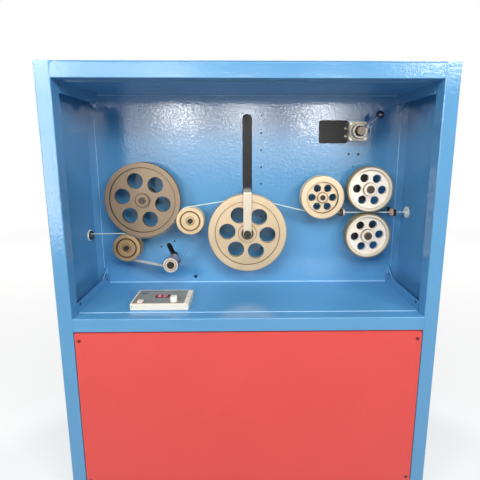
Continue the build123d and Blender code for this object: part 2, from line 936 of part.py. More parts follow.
def belt_loop(layer):
    # Closed outline of the belt at a height above the rollers' faces
    roller = roller_contact + layer
    tension = tension_contact + layer
    capstan = belt_on_capstan + belt_thickness - layer
    low = outer_tangent(press_centre, roller, tension_centre, tension)
    rise = outer_tangent(tension_centre, tension, pulley_centre, roller)
    start = nip_angle_in - 180
    over = nip_angle_out - 180
    CenterArc(press_centre, roller, start, low + 360 - start)
    Line(towards(press_centre, roller, low), towards(tension_centre, tension, low))
    CenterArc(tension_centre, tension, low, rise - low)
    Line(towards(tension_centre, tension, rise), towards(pulley_centre, roller, rise))
    CenterArc(pulley_centre, roller, rise, over - rise)
    CenterArc(capstan_centre, capstan, nip_angle_out, nip_angle_in - nip_angle_out)


with BuildPart() as press_belt:
    with BuildSketch(front_plane(0, wire_offset - belt_width / 2, 0)):
        with BuildLine():
            belt_loop(belt_thickness)
        make_face()
        with BuildLine():
            belt_loop(0)
        make_face(mode=Mode.SUBTRACT)
    extrude(amount=belt_width)
save(press_belt, "press_belt")

# Dancer wheel: deep wire groove, rounded rim, web with six holes, bearing seat in its boss
dancer_blank = grooved_rim(
    dancer_x,
    dancer_z,
    dancer_radius,
    dancer_width,
    rim_bevel,
    dancer_wire_radius - wire_radius - running_gap,
    groove_mouth,
)
dancer_disc = webbed(
    dancer_blank,
    dancer_x,
    dancer_z,
    dancer_width,
    dancer_radius - dancer_ring_width,
    dancer_web_front,
    dancer_web_back,
)
dancer_hub = drilled(
    dancer_disc,
    dancer_x,
    dancer_z,
    dancer_boss_radius,
    dancer_boss_front,
    dancer_width / 2,
    dancer_axle_radius + running_gap,
    dancer_hole_circle,
    dancer_hole_radius,
    dancer_hole_turn,
)
dancer_wheel = seated(
    dancer_hub, dancer_x, dancer_z, dancer_boss_front, dancer_seat_radius, dancer_seat_depth
)
save(dancer_wheel, "dancer_wheel")

# Dancer axle: from the carriage through the slot, the wheel and the yoke, with a nut in front
dancer_seat_face = dancer_seat_depth - dancer_boss_front - running_gap
yoke_back_face = wire_offset - yoke_front
yoke_front_face = yoke_back_face - yoke_thickness
plate_face = wire_offset + panel_thickness + rail_depth + carriage_clearance
axle_turning = turned(
    dancer_x,
    dancer_z,
    [
        (0, plate_face),
        (axle_sleeve_radius, plate_face),
        (axle_sleeve_radius, dancer_width / 2 + running_gap),
        (dancer_axle_radius, dancer_width / 2 + running_gap),
        (dancer_axle_radius, dancer_seat_face),
        (axle_sleeve_radius, dancer_seat_face),
        (axle_sleeve_radius, yoke_back_face),
        (dancer_axle_radius, yoke_back_face),
        (dancer_axle_radius, yoke_front_face),
        (dancer_nut_radius, yoke_front_face),
        (dancer_nut_radius, yoke_front_face - dancer_washer_height),
        (0, yoke_front_face - dancer_washer_height),
    ],
)
nut_start = yoke_front + yoke_thickness + dancer_washer_height
with BuildPart() as dancer_axle:
    add(axle_turning.part)
    with BuildSketch(front_plane(dancer_x, nut_start, dancer_z)):
        RegularPolygon(dancer_nut_radius, 6)
    extrude(amount=dancer_nut_height)
save(dancer_axle, "dancer_axle")

# Dancer yoke: a flat bar up the front of the wheel, over its rim and through the slot
yoke_front_y = wire_y + yoke_front_face
yoke_back_y = wire_y + yoke_back_face
yoke_end_y = wire_y + plate_face
yoke_top = bay(yoke_top_z)
yoke_under = bay(dancer_z + yoke_reach)
yoke_foot = bay(dancer_z - yoke_width / 2)
with BuildPart() as dancer_yoke:
    with BuildSketch(Plane.YZ.offset(dancer_x - yoke_width / 2)):
        with BuildLine():
            Polyline(
                (yoke_front_y, yoke_foot),
                (yoke_front_y, yoke_top),
                (yoke_end_y, yoke_top),
                (yoke_end_y, yoke_under),
                (yoke_back_y, yoke_under),
                (yoke_back_y, yoke_foot),
                close=True,
            )
        make_face()
    extrude(amount=yoke_width)
    cross_edges = dancer_yoke.edges().filter_by(Axis.X).sort_by(Axis.Z)
    front_edges = cross_edges.filter_by_position(Axis.Y, yoke_front_y - 1, yoke_front_y + 1)
    back_edges = cross_edges.filter_by_position(Axis.Y, yoke_back_y - 1, yoke_back_y + 1)
    fillet(front_edges[-1], yoke_bend)
    fillet(back_edges[-1], yoke_bend - yoke_thickness)
    foot_edges = dancer_yoke.edges().filter_by(Axis.Y).sort_by(Axis.Z)[:2]
    fillet(foot_edges, yoke_width / 2 - 1)
    with BuildSketch(front_plane(dancer_x, yoke_front, dancer_z)):
        Circle(dancer_axle_radius + running_gap)
    extrude(amount=yoke_thickness, mode=Mode.SUBTRACT)
save(dancer_yoke, "dancer_yoke")

# Linear rail behind the back panel, and the carriage that holds the axle and the yoke
rail_start = rail_low_z - rail_end_margin
rail_end = rail_low_z + (rail_bolts - 1) * rail_pitch + rail_end_margin
with BuildPart() as dancer_rail:
    with BuildSketch(Plane.XY.offset(bay(rail_start))):
        with Locations((rail_x, panel_y + panel_thickness + rail_depth / 2)):
            Rectangle(rail_width, rail_depth)
    extrude(amount=rail_end - rail_start)
save(dancer_rail, "dancer_rail")

carriage_left = dancer_x - carriage_left_reach
carriage_right = rail_x + rail_width / 2 + running_gap + carriage_cheek
carriage_low = dancer_z - carriage_drop
carriage_high = yoke_top_z + carriage_top
with BuildPart() as dancer_carriage:
    plate_y = wire_y + plate_face
    with BuildSketch(Plane.XY.offset(bay(carriage_low))):
        with Locations(((carriage_left + carriage_right) / 2, plate_y + carriage_thickness / 2)):
            Rectangle(carriage_right - carriage_left, carriage_thickness)
        cheek_start = panel_y + panel_thickness + carriage_clearance
        cheek_x = rail_width / 2 + running_gap + carriage_cheek / 2
        for side in (-1, 1):
            with Locations((rail_x + side * cheek_x, (cheek_start + plate_y) / 2)):
                Rectangle(carriage_cheek, plate_y - cheek_start)
    extrude(amount=carriage_high - carriage_low)
save(dancer_carriage, "dancer_carriage")

# Guide wheel: wide rim, recessed web with six holes, boss with a bearing seat
guide_blank = grooved_rim(
    guide_x,
    guide_z,
    guide_radius,
    guide_width,
    rim_bevel,
    guide_wire_radius - wire_radius - running_gap,
    groove_mouth,
)
guide_disc = webbed(
    guide_blank,
    guide_x,
    guide_z,
    guide_width,
    guide_radius - guide_ring_width,
    guide_web_front,
    guide_web_back,
)
guide_hub = drilled(
    guide_disc,
    guide_x,
    guide_z,
    guide_boss_radius,
    guide_boss_front,
    guide_width / 2,
    axle_radius + running_gap,
    guide_hole_circle,
    guide_hole_radius,
    0,
)
guide_wheel = seated(
    guide_hub, guide_x, guide_z, guide_boss_front, guide_seat_radius, guide_seat_depth
)
save(guide_wheel, "guide_wheel")


# Pinch rollers: aluminium cores with rubber tyres on driven spindles
def pinch_core(z, turn):
    with BuildPart() as blank:
        with BuildSketch(front_plane(pinch_x, wire_offset - pinch_width / 2, z)):
            Circle(pinch_core_radius)
        extrude(amount=pinch_width)
    core_disc = webbed(
        blank,
        pinch_x,
        z,
        pinch_width,
        pinch_core_radius - pinch_lip_width,
        pinch_web_front,
        pinch_web_back,
        pinch_recess_taper,
    )
    return drilled(
        core_disc,
        pinch_x,
        z,
        pinch_boss_radius,
        pinch_boss_front,
        pinch_width / 2,
        pinch_shaft_radius,
        pinch_hole_circle,
        pinch_hole_radius,
        turn,
    )


def pinch_tyre(z):
    with BuildPart() as tyre:
        with BuildSketch(front_plane(pinch_x, wire_offset - pinch_width / 2, z)):
            Circle(pinch_tyre_radius)
            Circle(pinch_core_radius, mode=Mode.SUBTRACT)
        extrude(amount=pinch_width)
        outer = tyre.edges().filter_by(GeomType.CIRCLE).sort_by(SortBy.RADIUS)[-2:]
        fillet(outer, pinch_tyre_edge)
    return tyre


upper_pinch_core = pinch_core(pinch_high_z, upper_hole_turn)
save(upper_pinch_core, "upper_pinch_core")

lower_pinch_core = pinch_core(pinch_low_z, lower_hole_turn)
save(lower_pinch_core, "lower_pinch_core")

upper_pinch_tyre = pinch_tyre(pinch_high_z)
save(upper_pinch_tyre, "upper_pinch_tyre")

lower_pinch_tyre = pinch_tyre(pinch_low_z)
save(lower_pinch_tyre, "lower_pinch_tyre")

upper_pinch_spindle = spindle(
    pinch_x, pinch_high_z, pinch_shaft_radius, pinch_boss_front, pinch_screw_radius
)
save(upper_pinch_spindle, "upper_pinch_spindle")

lower_pinch_spindle = spindle(
    pinch_x, pinch_low_z, pinch_shaft_radius, pinch_boss_front, pinch_screw_radius
)
save(lower_pinch_spindle, "lower_pinch_spindle")


# Wire, taut from the left wall eyelet to the right one
def wire_piece(points):
    with BuildPart() as piece:
        with BuildLine(front_plane(0, wire_offset, 0)) as path:
            points()
        with BuildSketch(Plane(origin=path.line @ 0, z_dir=path.line % 0)):
            Circle(wire_radius)
        sweep(path=path.wires()[0])
    return piece


def inner_tangent(start, start_radius, end, end_radius):
    # Direction from the first centre to a line that passes over it and under the second circle
    span = hypot(end[0] - start[0], end[1] - start[1])
    return bearing_angle(start, end) + degrees(acos((start_radius + end_radius) / span))


dancer_gap = hypot(dancer_x - pulley_x, dancer_z - pulley_z)
dancer_lean = degrees(acos((wire_on_roller - dancer_wire_radius) / dancer_gap))
wire_rise_angle = bearing_angle(pulley_centre, dancer_centre) + dancer_lean
wire_fall_angle = inner_tangent(dancer_centre, dancer_wire_radius, guide_centre, guide_wire_radius)
inlet_point = (inlet_guide_x, pinch_wire_z)
inlet_gap = hypot(inlet_point[0] - guide_x, inlet_point[1] - guide_z)
inlet_lean = degrees(acos(-guide_wire_radius / inlet_gap))
wire_inlet_angle = bearing_angle(guide_centre, inlet_point) + inlet_lean
pulley_leave = towards(pulley_centre, wire_on_roller, wire_rise_angle)
dancer_reach = towards(dancer_centre, dancer_wire_radius, wire_rise_angle)
dancer_leave = towards(dancer_centre, dancer_wire_radius, wire_fall_angle)
guide_reach = towards(guide_centre, guide_wire_radius, wire_fall_angle + 180)
guide_leave = towards(guide_centre, guide_wire_radius, wire_inlet_angle + 180)
wire_end = half_width


def infeed_path():
    Line((-wire_end, wire_low_z), (press_x, wire_low_z))
    CenterArc(press_centre, wire_on_roller, 90, nip_angle_in - 180 - 90)
    CenterArc(capstan_centre, wire_on_capstan, nip_angle_in, nip_angle_out - nip_angle_in)
    CenterArc(pulley_centre, wire_on_roller, nip_angle_out - 180, wire_rise_angle - nip_angle_out + 180)


wire_infeed = wire_piece(infeed_path)
save(wire_infeed, "wire_infeed")

wire_rising_span = wire_piece(lambda: Line(pulley_leave, dancer_reach))
save(wire_rising_span, "wire_rising_span")

wire_over_dancer = wire_piece(
    lambda: CenterArc(
        dancer_centre, dancer_wire_radius, wire_rise_angle, wire_fall_angle - wire_rise_angle
    )
)
save(wire_over_dancer, "wire_over_dancer")

wire_falling_span = wire_piece(lambda: Line(dancer_leave, guide_reach))
save(wire_falling_span, "wire_falling_span")


def outfeed_path():
    CenterArc(
        guide_centre,
        guide_wire_radius,
        wire_fall_angle - 180,
        wire_inlet_angle - wire_fall_angle,
    )
    FilletPolyline(guide_leave, inlet_point, (wire_end, pinch_wire_z), radius=120)


wire_outfeed = wire_piece(outfeed_path)
save(wire_outfeed, "wire_outfeed")

# Wire guides before and after the pinch rollers: a block from the panel and a flanged eyelet
eyelet_neck = 9.0


def guide_holder(x, z):
    with BuildPart() as holder:
        with BuildSketch(Plane.YZ.offset(x - holder_width / 2)):
            with Locations((panel_y - holder_front / 2, bay(z))):
                Rectangle(holder_front, holder_height)
            with Locations((wire_y, bay(z))):
                Circle(eyelet_neck + 0.1, mode=Mode.SUBTRACT)
        extrude(amount=holder_width)
        front_edges = holder.edges().filter_by(Axis.X).sort_by(Axis.Y)[:2]
        fillet(front_edges, 4)
    return holder


with BuildPart() as guide_holders:
    add(guide_holder(inlet_guide_x, pinch_wire_z).part)
    add(guide_holder(outlet_guide_x, pinch_wire_z).part)
save(guide_holders, "guide_holders")


def flanged_eyelet(x, z, side, flange, bore, neck, body, mouth, reach, collar=0, collar_reach=0):
    # Turned about the wire: flange on the side that faces the wire, rounded mouth, neck behind;
    # collar is the radius of a sleeve that stands out of the flange, where there is one
    front = body + 1 + collar_reach
    face = [(body + 1, collar), (front, collar)] if collar_reach > 0 else []
    with BuildPart() as eyelet:
        with BuildSketch(Plane(origin=(x, wire_y, bay(z)), x_dir=(side, 0, 0), z_dir=(0, -side, 0))):
            with BuildLine():
                Polyline(
                    (0, neck),
                    (0, flange),
                    (body, flange),
                    (body + 1, flange - 2),
                    *face,
                    (front, bore + mouth),
                    (front - mouth, bore),
                    (-reach, bore),
                    (-reach, neck),
                    close=True,
                )
            make_face()
        revolve(axis=Axis((x, wire_y, bay(z)), (1, 0, 0)))
    return eyelet


inlet_eyelet = flanged_eyelet(
    inlet_guide_x + holder_width / 2,
    pinch_wire_z,
    1,
    eyelet_radius,
    eyelet_bore,
    eyelet_neck,
    5,
    3,
    holder_width,
)
outlet_eyelet = flanged_eyelet(
    outlet_guide_x - holder_width / 2,
    pinch_wire_z,
    -1,
    eyelet_radius,
    eyelet_bore,
    eyelet_neck,
    5,
    3,
    holder_width,
)
with BuildPart() as guide_eyelets:
    add(inlet_eyelet.part)
    add(outlet_eyelet.part)
save(guide_eyelets, "guide_eyelets")

left_wall_eyelet = flanged_eyelet(
    -side_inner_x,
    left_eyelet_z,
    1,
    wall_eyelet_radius,
    left_eyelet_bore,
    eyelet_neck_radius,
    wall_eyelet_flange,
    2,
    side_sheet,
    left_collar_radius,
    left_collar_reach,
)
right_wall_eyelet = flanged_eyelet(
    side_inner_x,
    pinch_wire_z,
    -1,
    wall_eyelet_radius,
    right_eyelet_bore,
    eyelet_neck_radius,
    wall_eyelet_flange,
    3,
    side_sheet,
)
with BuildPart() as wall_eyelets:
    add(left_wall_eyelet.part)
    add(right_wall_eyelet.part)
save(wall_eyelets, "wall_eyelets")

# Hand valve: square body, stepped round turret, three fittings, lever with a ball knob
turret_start = wire_offset - valve_depth
turret_step = turret_start - turret_base_depth
turret_neck = turret_step - turret_neck_depth
turret_top = turret_start - turret_depth
valve_turret = turned(
    valve_x,
    valve_z,
    [
        (0, turret_start),
        (turret_base_radius, turret_start),
        (turret_base_radius, turret_step),
        (turret_neck_radius, turret_step),
        (turret_neck_radius, turret_neck),
        (turret_radius, turret_neck),
        (turret_radius, turret_top + turret_edge),
        (turret_radius - turret_edge, turret_top),
        (turret_ring_radius, turret_top),
        (turret_ring_radius, turret_top + turret_ring_depth),
        (lever_hub_radius, turret_top + turret_ring_depth),
        (lever_hub_radius, turret_top),
        (0, turret_top),
    ],
)
with BuildPart() as valve_body:
    with BuildSketch(front_plane(valve_x, 0, valve_z)):
        RectangleRounded(valve_size, valve_size, valve_corner)
    extrude(amount=valve_depth)
    add(valve_turret.part)
save(valve_body, "valve_body")

fitting_radius = 7.5
fitting_length = 12.0
fitting_spread = 14.0
with BuildPart() as valve_fittings:
    fitting_depth = panel_y - valve_depth / 2
    left_plane = Plane(
        origin=(valve_x - valve_size / 2, fitting_depth, bay(valve_z)),
        x_dir=(0, 1, 0),
        z_dir=(-1, 0, 0),
    )
    with BuildSketch(left_plane):
        with Locations((0, fitting_spread), (0, -fitting_spread)):
            RegularPolygon(fitting_radius, 6)
    extrude(amount=fitting_length)
    right_plane = Plane(
        origin=(valve_x + valve_size / 2, fitting_depth, bay(valve_z)),
        x_dir=(0, -1, 0),
        z_dir=(1, 0, 0),
    )
    with BuildSketch(right_plane):
        RegularPolygon(fitting_radius, 6)
    extrude(amount=fitting_length)
save(valve_fittings, "valve_fittings")

hub_front = valve_depth + turret_depth + running_gap
with BuildPart() as valve_lever:
    with BuildSketch(front_plane(valve_x, hub_front, valve_z)):
        Circle(lever_hub_radius)
    extrude(amount=lever_hub_depth)
    lever_start = front_plane(valve_x, hub_front + lever_hub_depth / 2, valve_z)
    lever_direction = (cos(radians(lever_angle)), 0, sin(radians(lever_angle)))
    with BuildSketch(Plane(origin=lever_start.origin, x_dir=(0, 1, 0), z_dir=lever_direction)):
        Circle(lever_radius)
    extrude(amount=lever_length - ball_radius * 0.6)
save(valve_lever, "valve_lever")

ball_centre_x = valve_x + lever_length * cos(radians(lever_angle))
ball_centre_z = valve_z + lever_length * sin(radians(lever_angle))
with BuildPart() as valve_ball:
    ball_origin = front_plane(ball_centre_x, hub_front + lever_hub_depth / 2, ball_centre_z).origin
    with Locations(ball_origin):
        Sphere(ball_radius)
    with BuildSketch(Plane(origin=lever_start.origin, x_dir=(0, 1, 0), z_dir=lever_direction)):
        Circle(lever_radius)
    extrude(amount=lever_length - ball_radius * 0.6, mode=Mode.SUBTRACT)
save(valve_ball, "valve_ball")

# Speed controller: low case on the bay floor, grey face, display, knob and rocker switch
case_centre_x = controller_left + controller_width / 2
case_front_y = front_y + controller_front
case_centre_y = case_front_y + controller_depth / 2
case_top = shelf_height + controller_height
rocker_pocket = 4.0
rocker_gap = 0.5
face_left = controller_left + face_border
face_right = controller_left + controller_width - face_border_right
display_centre = (controller_left + display_from_left, case_front_y + display_from_front)
knob_centre = (controller_left + knob_from_left, case_front_y + knob_from_front)
rocker_x = controller_left + rocker_from_left
rocker_y = case_front_y + rocker_from_front
rocker_centre = (rocker_x, rocker_y)
with BuildPart() as controller_case:
    with BuildSketch(Plane.XY.offset(shelf_height)):
        with Locations((case_centre_x, case_centre_y)):
            RectangleRounded(controller_width, controller_depth, 4)
    extrude(amount=controller_height)
    fillet(controller_case.faces().sort_by(Axis.Z)[-1].edges(), 1.5)
    with BuildSketch(Plane.XY.offset(case_top)):
        with Locations(((face_left + face_right) / 2, case_centre_y)):
            RectangleRounded(face_right - face_left, controller_depth - 2 * face_border, 2)
    extrude(amount=-face_thickness, mode=Mode.SUBTRACT)
    with BuildSketch(Plane.XY.offset(case_top)):
        with Locations(rocker_centre):
            Rectangle(rocker_length + 2 * rocker_gap, rocker_width + 2 * rocker_gap)
    extrude(amount=-rocker_pocket - face_thickness, mode=Mode.SUBTRACT)
save(controller_case, "controller_case")

with BuildPart() as controller_face:
    with BuildSketch(Plane.XY.offset(case_top)):
        with Locations(((face_left + face_right) / 2, case_centre_y)):
            RectangleRounded(face_right - face_left, controller_depth - 2 * face_border, 2)
        with Locations(rocker_centre):
            Rectangle(
                rocker_length + 2 * rocker_gap, rocker_width + 2 * rocker_gap, mode=Mode.SUBTRACT
            )
    extrude(amount=-face_thickness)
save(controller_face, "controller_face")

with BuildPart() as display_window:
    with BuildSketch(Plane.XY.offset(case_top)):
        with Locations(display_centre):
            Rectangle(display_width, display_depth)
    extrude(amount=1.5)
    fillet(display_window.edges().filter_by(Axis.Z), 2)
save(display_window, "display_window")

with BuildPart() as speed_knob:
    with BuildSketch(Plane.XY.offset(case_top + running_gap)):
        with Locations(knob_centre):
            Circle(knob_radius)
    extrude(amount=knob_height, taper=4)
    fillet(speed_knob.faces().sort_by(Axis.Z)[-1].edges(), 1.5)
save(speed_knob, "speed_knob")

rocker_height = 6.0
with BuildPart() as power_rocker:
    rocker_side = Plane(
        origin=(rocker_x, rocker_y + rocker_width / 2, case_top - 1.5),
        x_dir=(1, 0, 0),
        z_dir=(0, -1, 0),
    )
    with BuildSketch(rocker_side):
        with BuildLine():
            Polyline(
                (-rocker_length / 2, 0),
                (0, -1.5),
                (rocker_length / 2, 0),
                (rocker_length / 2, rocker_height),
                (0, rocker_height - 1.2),
                (-rocker_length / 2, rocker_height),
                close=True,
            )
        make_face()
    extrude(amount=rocker_width)
save(power_rocker, "power_rocker")
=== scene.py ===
# %% [markdown]
# # A wire capstan, dressed for a picture
#
# The machine pulls wire. A steel cabinet carries an open work bay, and in the bay the wire runs in through the
# left wall, round a capstan wheel that a belt presses on, over a dancer wheel that hangs in a slot, over a guide
# wheel, between two pinch rollers and out through the right wall. The solids of all these pieces are already
# made. This file gives each one its finish and adds what a solid model leaves out: screws, the printed face of
# the speed controller, its digits, and a tube in place of each free span of wire beside the dancer.
#
# It begins with the frame, the imported solids in metres. Nothing in the frame is moved or reshaped.

import math

import bmesh
import bpy
from mathutils import Matrix, Vector


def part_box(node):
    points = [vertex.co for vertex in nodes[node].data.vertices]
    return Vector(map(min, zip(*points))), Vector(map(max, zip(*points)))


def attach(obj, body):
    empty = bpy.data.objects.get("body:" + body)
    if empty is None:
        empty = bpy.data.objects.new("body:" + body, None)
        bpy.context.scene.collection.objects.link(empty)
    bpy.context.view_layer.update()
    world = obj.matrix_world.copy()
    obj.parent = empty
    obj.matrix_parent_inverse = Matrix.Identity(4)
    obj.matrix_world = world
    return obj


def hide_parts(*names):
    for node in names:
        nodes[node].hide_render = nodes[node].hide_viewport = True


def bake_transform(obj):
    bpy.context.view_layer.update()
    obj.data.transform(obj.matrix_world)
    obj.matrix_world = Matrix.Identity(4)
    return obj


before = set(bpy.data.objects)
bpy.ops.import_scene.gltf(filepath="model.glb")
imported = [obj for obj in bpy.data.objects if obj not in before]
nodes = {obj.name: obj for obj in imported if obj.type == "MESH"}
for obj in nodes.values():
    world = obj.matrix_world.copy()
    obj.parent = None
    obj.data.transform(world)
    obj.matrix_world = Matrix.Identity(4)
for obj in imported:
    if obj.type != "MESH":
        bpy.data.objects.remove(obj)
scene = bpy.context.scene
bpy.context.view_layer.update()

# %% [markdown]
# ## Lengths, colours and nodes
#
# A finish is easier to judge when its sizes are written as a maker would, in millimetres, and its colours as they
# look on a screen. So one function turns millimetres to metres, one turns a hex colour to the linear values that
# a shader works with, and one adds a node with its settings, its fixed values and its links. The same function
# serves every kind of node, in materials and in Geometry Nodes alike.


# %% Small helpers
def mm(length):
    return length / 1000


def linear(hex_colour):
    """The linear RGBA of a colour that is written as sRGB hex."""
    shares = [int(hex_colour[place : place + 2], 16) / 255 for place in (1, 3, 5)]
    return [s / 12.92 if s <= 0.04045 else ((s + 0.055) / 1.055) ** 2.4 for s in shares] + [1.0]


def add_node(tree, kind, values=None, links=None, **settings):
    """Adds one node: settings are its options, values go on its inputs, links join its inputs to outputs."""
    node = tree.nodes.new(kind)
    for option, choice in settings.items():
        setattr(node, option, choice)
    for socket, value in (values or {}).items():
        node.inputs[socket].default_value = value
    for socket, source in (links or {}).items():
        tree.links.new(source, node.inputs[socket])
    return node


def new_finish(name, **constants):
    """A material, its node tree and its shader, with what is the same all over set on the shader itself."""
    finish = bpy.data.materials.new(name)
    finish.use_nodes = True
    finish.node_tree.nodes.clear()
    shader = add_node(finish.node_tree, "ShaderNodeBsdfPrincipled", constants)
    add_node(finish.node_tree, "ShaderNodeOutputMaterial", links={"Surface": shader.outputs["BSDF"]})
    return finish, finish.node_tree, shader


print("white is", linear("#FFFFFF"))

# %% [markdown]
# ## Patterns that finishes share
#
# Most finishes differ in how cloudy their colour is and how rough the skin is. Both come from noise that is read
# at the piece's own coordinates, so it turns with a wheel and doesn't slide. `grain` gives such a noise for a
# feature of a real size, `blend_of` mixes two colours by it, and `between` turns it into a number between two
# limits, for roughness.


# %% Noise, mixes and bumps
def grain(tree, place, size, detail=2.0, stretch=(1, 1, 1), **more):
    """Noise whose blots are about `size` millimetres wide."""
    spread = add_node(tree, "ShaderNodeMapping", {"Scale": stretch}, {"Vector": place})
    noise = add_node(
        tree,
        "ShaderNodeTexNoise",
        {"Scale": 1 / mm(size), "Detail": detail, **more},
        {"Vector": spread.outputs["Vector"]},
    )
    return noise.outputs[0]


def blend_of(tree, factor, dark, light):
    mix = add_node(tree, "ShaderNodeMix", {6: linear(dark), 7: linear(light)}, {0: factor}, data_type="RGBA")
    return mix.outputs[2]


def between(tree, factor, low, high, start=0.3, end=0.7):
    """The factor's range from start to end, stretched to the range from low to high."""
    limits = {"From Min": start, "From Max": end, "To Min": low, "To Max": high}
    return add_node(tree, "ShaderNodeMapRange", limits, {"Value": factor}).outputs["Result"]


def bump(tree, height, depth, strength=1.0, under=None):
    """A bump whose full height is `depth` millimetres, laid over another one if `under` is given."""
    links = {"Height": height}
    if under:
        links["Normal"] = under
    node = add_node(tree, "ShaderNodeBump", {"Distance": mm(depth), "Strength": strength}, links)
    return node.outputs["Normal"]


def wear(shader, tree, colour=None, roughness=None, normal=None):
    """Links what changes over the surface to the shader."""
    for socket, source in (("Base Color", colour), ("Roughness", roughness), ("Normal", normal)):
        if source:
            tree.links.new(source, shader.inputs[socket])


def own_place(tree):
    return add_node(tree, "ShaderNodeTexCoord").outputs["Object"]


# %% [markdown]
# ## Powder coat
#
# The cabinet is sheet and tube in a blue polyester powder coat, baked to a semi-gloss skin. Powder never flows
# out flat: it leaves orange peel, a soft dimpling a few millimetres across, and lamps reflect in it as bright
# patches with a grainy edge. The dimples come as a bump in two sizes. The finer one is near 3 mm on the real
# skin, and is drawn a little coarser here so that it still shows at the size of the picture. Between the dimples
# the skin is nearly a mirror, so its roughness is low. The red panel has the same coat, a little duller, and rust
# has bled out round its four screws. The beads along the seams and the gussets' edges carry a paler copy of the
# coat, a painted highlight, so that they show as pale lines. Inside the drive compartment the sheet is only
# primed, in a flat grey.


# %% Blue and red powder coat
def spots(tree, place, points, solid, faded):
    """1 within `solid` millimetres of each point, seen from the front, and 0 beyond `faded` millimetres."""
    total = None
    for x, z in points:
        centred = {"Location": (-x, 0, -z), "Scale": (1, 0, 1)}
        flat = add_node(tree, "ShaderNodeMapping", centred, {"Vector": place}).outputs["Vector"]
        off = add_node(tree, "ShaderNodeVectorMath", links={0: flat}, operation="LENGTH").outputs["Value"]
        spot = between(tree, off, 1, 0, mm(solid), mm(faded))
        if total:
            spot = add_node(tree, "ShaderNodeMath", links={0: total, 1: spot}, operation="MAXIMUM").outputs[0]
        total = spot
    return total


def powder_coat(name, dark, light, roughness, rust_at=()):
    finish, tree, shader = new_finish(name, IOR=1.5)
    place = own_place(tree)
    cloud = grain(tree, place, 240, 3)
    peel = grain(tree, place, 9, 2)
    pores = grain(tree, place, 4, 1)
    skin = bump(tree, pores, 0.2, under=bump(tree, peel, 0.42))
    rough = between(tree, cloud, roughness - 0.02, roughness + 0.03)
    colour = blend_of(tree, cloud, dark, light)
    if rust_at:
        rust = spots(tree, place, rust_at, 4.5, 8)
        colour = add_node(tree, "ShaderNodeMix", {7: linear("#6B2420")}, {0: rust, 6: colour}, data_type="RGBA").outputs[2]
    wear(shader, tree, colour, rough, skin)
    return finish


panel_low, panel_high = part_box("front_lower_panel")
screw_x = (panel_low.x + mm(13), panel_high.x - mm(13))
base_z = (panel_low.z + mm(26), panel_high.z - mm(26))
blue_coat = powder_coat("blue polyester powder coat", "#5495C5", "#60A0CD", 0.12)
# Painted highlight: a paler copy of the blue coat for the beads, so that they show as pale lines.
painted_highlight_coat = powder_coat("pale blue coat, a painted highlight", "#8CC3EA", "#A6D3F2", 0.2)
red_coat = powder_coat("red polyester powder coat", "#DC4540", "#E44E48", 0.30, [(x, z) for x in screw_x for z in base_z])
grey_primer = powder_coat("flat grey primer", "#CFCECC", "#DBD9D6", 0.6)
print("coats:", blue_coat.name, "and", red_coat.name)

# %% [markdown]
# ## Turned aluminium
#
# Wheels and rollers are turned on a lathe, and the tool leaves fine rings round the axis. Under a soft lamp the
# rings stretch its reflection into a fan. Rings of a real 0.2 mm feed are far too fine to show, so they are drawn
# some millimetres apart and very shallow. A Mapping node moves the pattern's centre to the wheel's own axis,
# which comes from the frame, so the rings stay true on each wheel. Hard anodising leaves the capstan brown and
# matt, and a thin clear anodising leaves the other wheels cream. Each step and groove is drawn as a dark ring of
# painted shade, standing in for the shade that falls into it. The same distance from the axis places those rings.


# %% Rings round an axis
def centre_of(node):
    low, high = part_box(node)
    return (low + high) / 2


def lathe_rings(tree, place, axis_point, spacing):
    """Rings `spacing` millimetres apart round an axis that runs front to back."""
    moved = add_node(tree, "ShaderNodeMapping", {"Location": -axis_point}, {"Vector": place})
    rings = add_node(
        tree,
        "ShaderNodeTexWave",
        {"Scale": 0.314 / mm(spacing), "Distortion": 1.2, "Detail": 2.0, "Detail Scale": 0.6},
        {"Vector": moved.outputs["Vector"]},
        wave_type="RINGS",
        rings_direction="Y",
    )
    return rings.outputs["Fac"]


# Painted shade: the mask of the dark rings that stand for the shade in each step and groove of a wheel.
def painted_groove_shade(tree, place, axis_point, rings):
    """1 in each ring round the axis, given as (radius, half width) in millimetres, and 0 elsewhere."""
    centred = {"Location": (-axis_point.x, 0, -axis_point.z), "Scale": (1, 0, 1)}
    flat = add_node(tree, "ShaderNodeMapping", centred, {"Vector": place})
    radius = add_node(tree, "ShaderNodeVectorMath", links={0: flat.outputs["Vector"]}, operation="LENGTH").outputs["Value"]
    total = None
    for middle, half in rings:
        off = add_node(tree, "ShaderNodeMath", {1: mm(middle)}, {0: radius}, operation="SUBTRACT").outputs[0]
        off = add_node(tree, "ShaderNodeMath", links={0: off}, operation="ABSOLUTE").outputs[0]
        ring = between(tree, off, 1, 0, mm(half * 0.5), mm(half * 1.2))
        if total:
            ring = add_node(tree, "ShaderNodeMath", links={0: total, 1: ring}, operation="MAXIMUM").outputs[0]
        total = ring
    return total


def turned_metal(name, node, dark, light, roughness, metallic=1.0, spacing=5, stain=60, rings=(), groove_shade="#4A3724"):
    finish, tree, shader = new_finish(name, Metallic=metallic)
    place = own_place(tree)
    turning = lathe_rings(tree, place, centre_of(node), spacing)
    cloud = grain(tree, place, stain, 4)
    grit = grain(tree, place, 3, 2)
    skin = bump(tree, grit, 0.05, under=bump(tree, turning, 0.04))
    rough = between(tree, cloud, roughness - 0.06, roughness + 0.06)
    colour = blend_of(tree, cloud, dark, light)
    # Painted shade: dark rings of the given colour at each step and groove, where shade falls.
    if rings:
        groove_shade_mask = painted_groove_shade(tree, place, centre_of(node), rings)
        colour = add_node(tree, "ShaderNodeMix", {7: linear(groove_shade)}, {0: groove_shade_mask, 6: colour}, data_type="RGBA").outputs[2]
    wear(shader, tree, colour, rough, skin)
    return finish
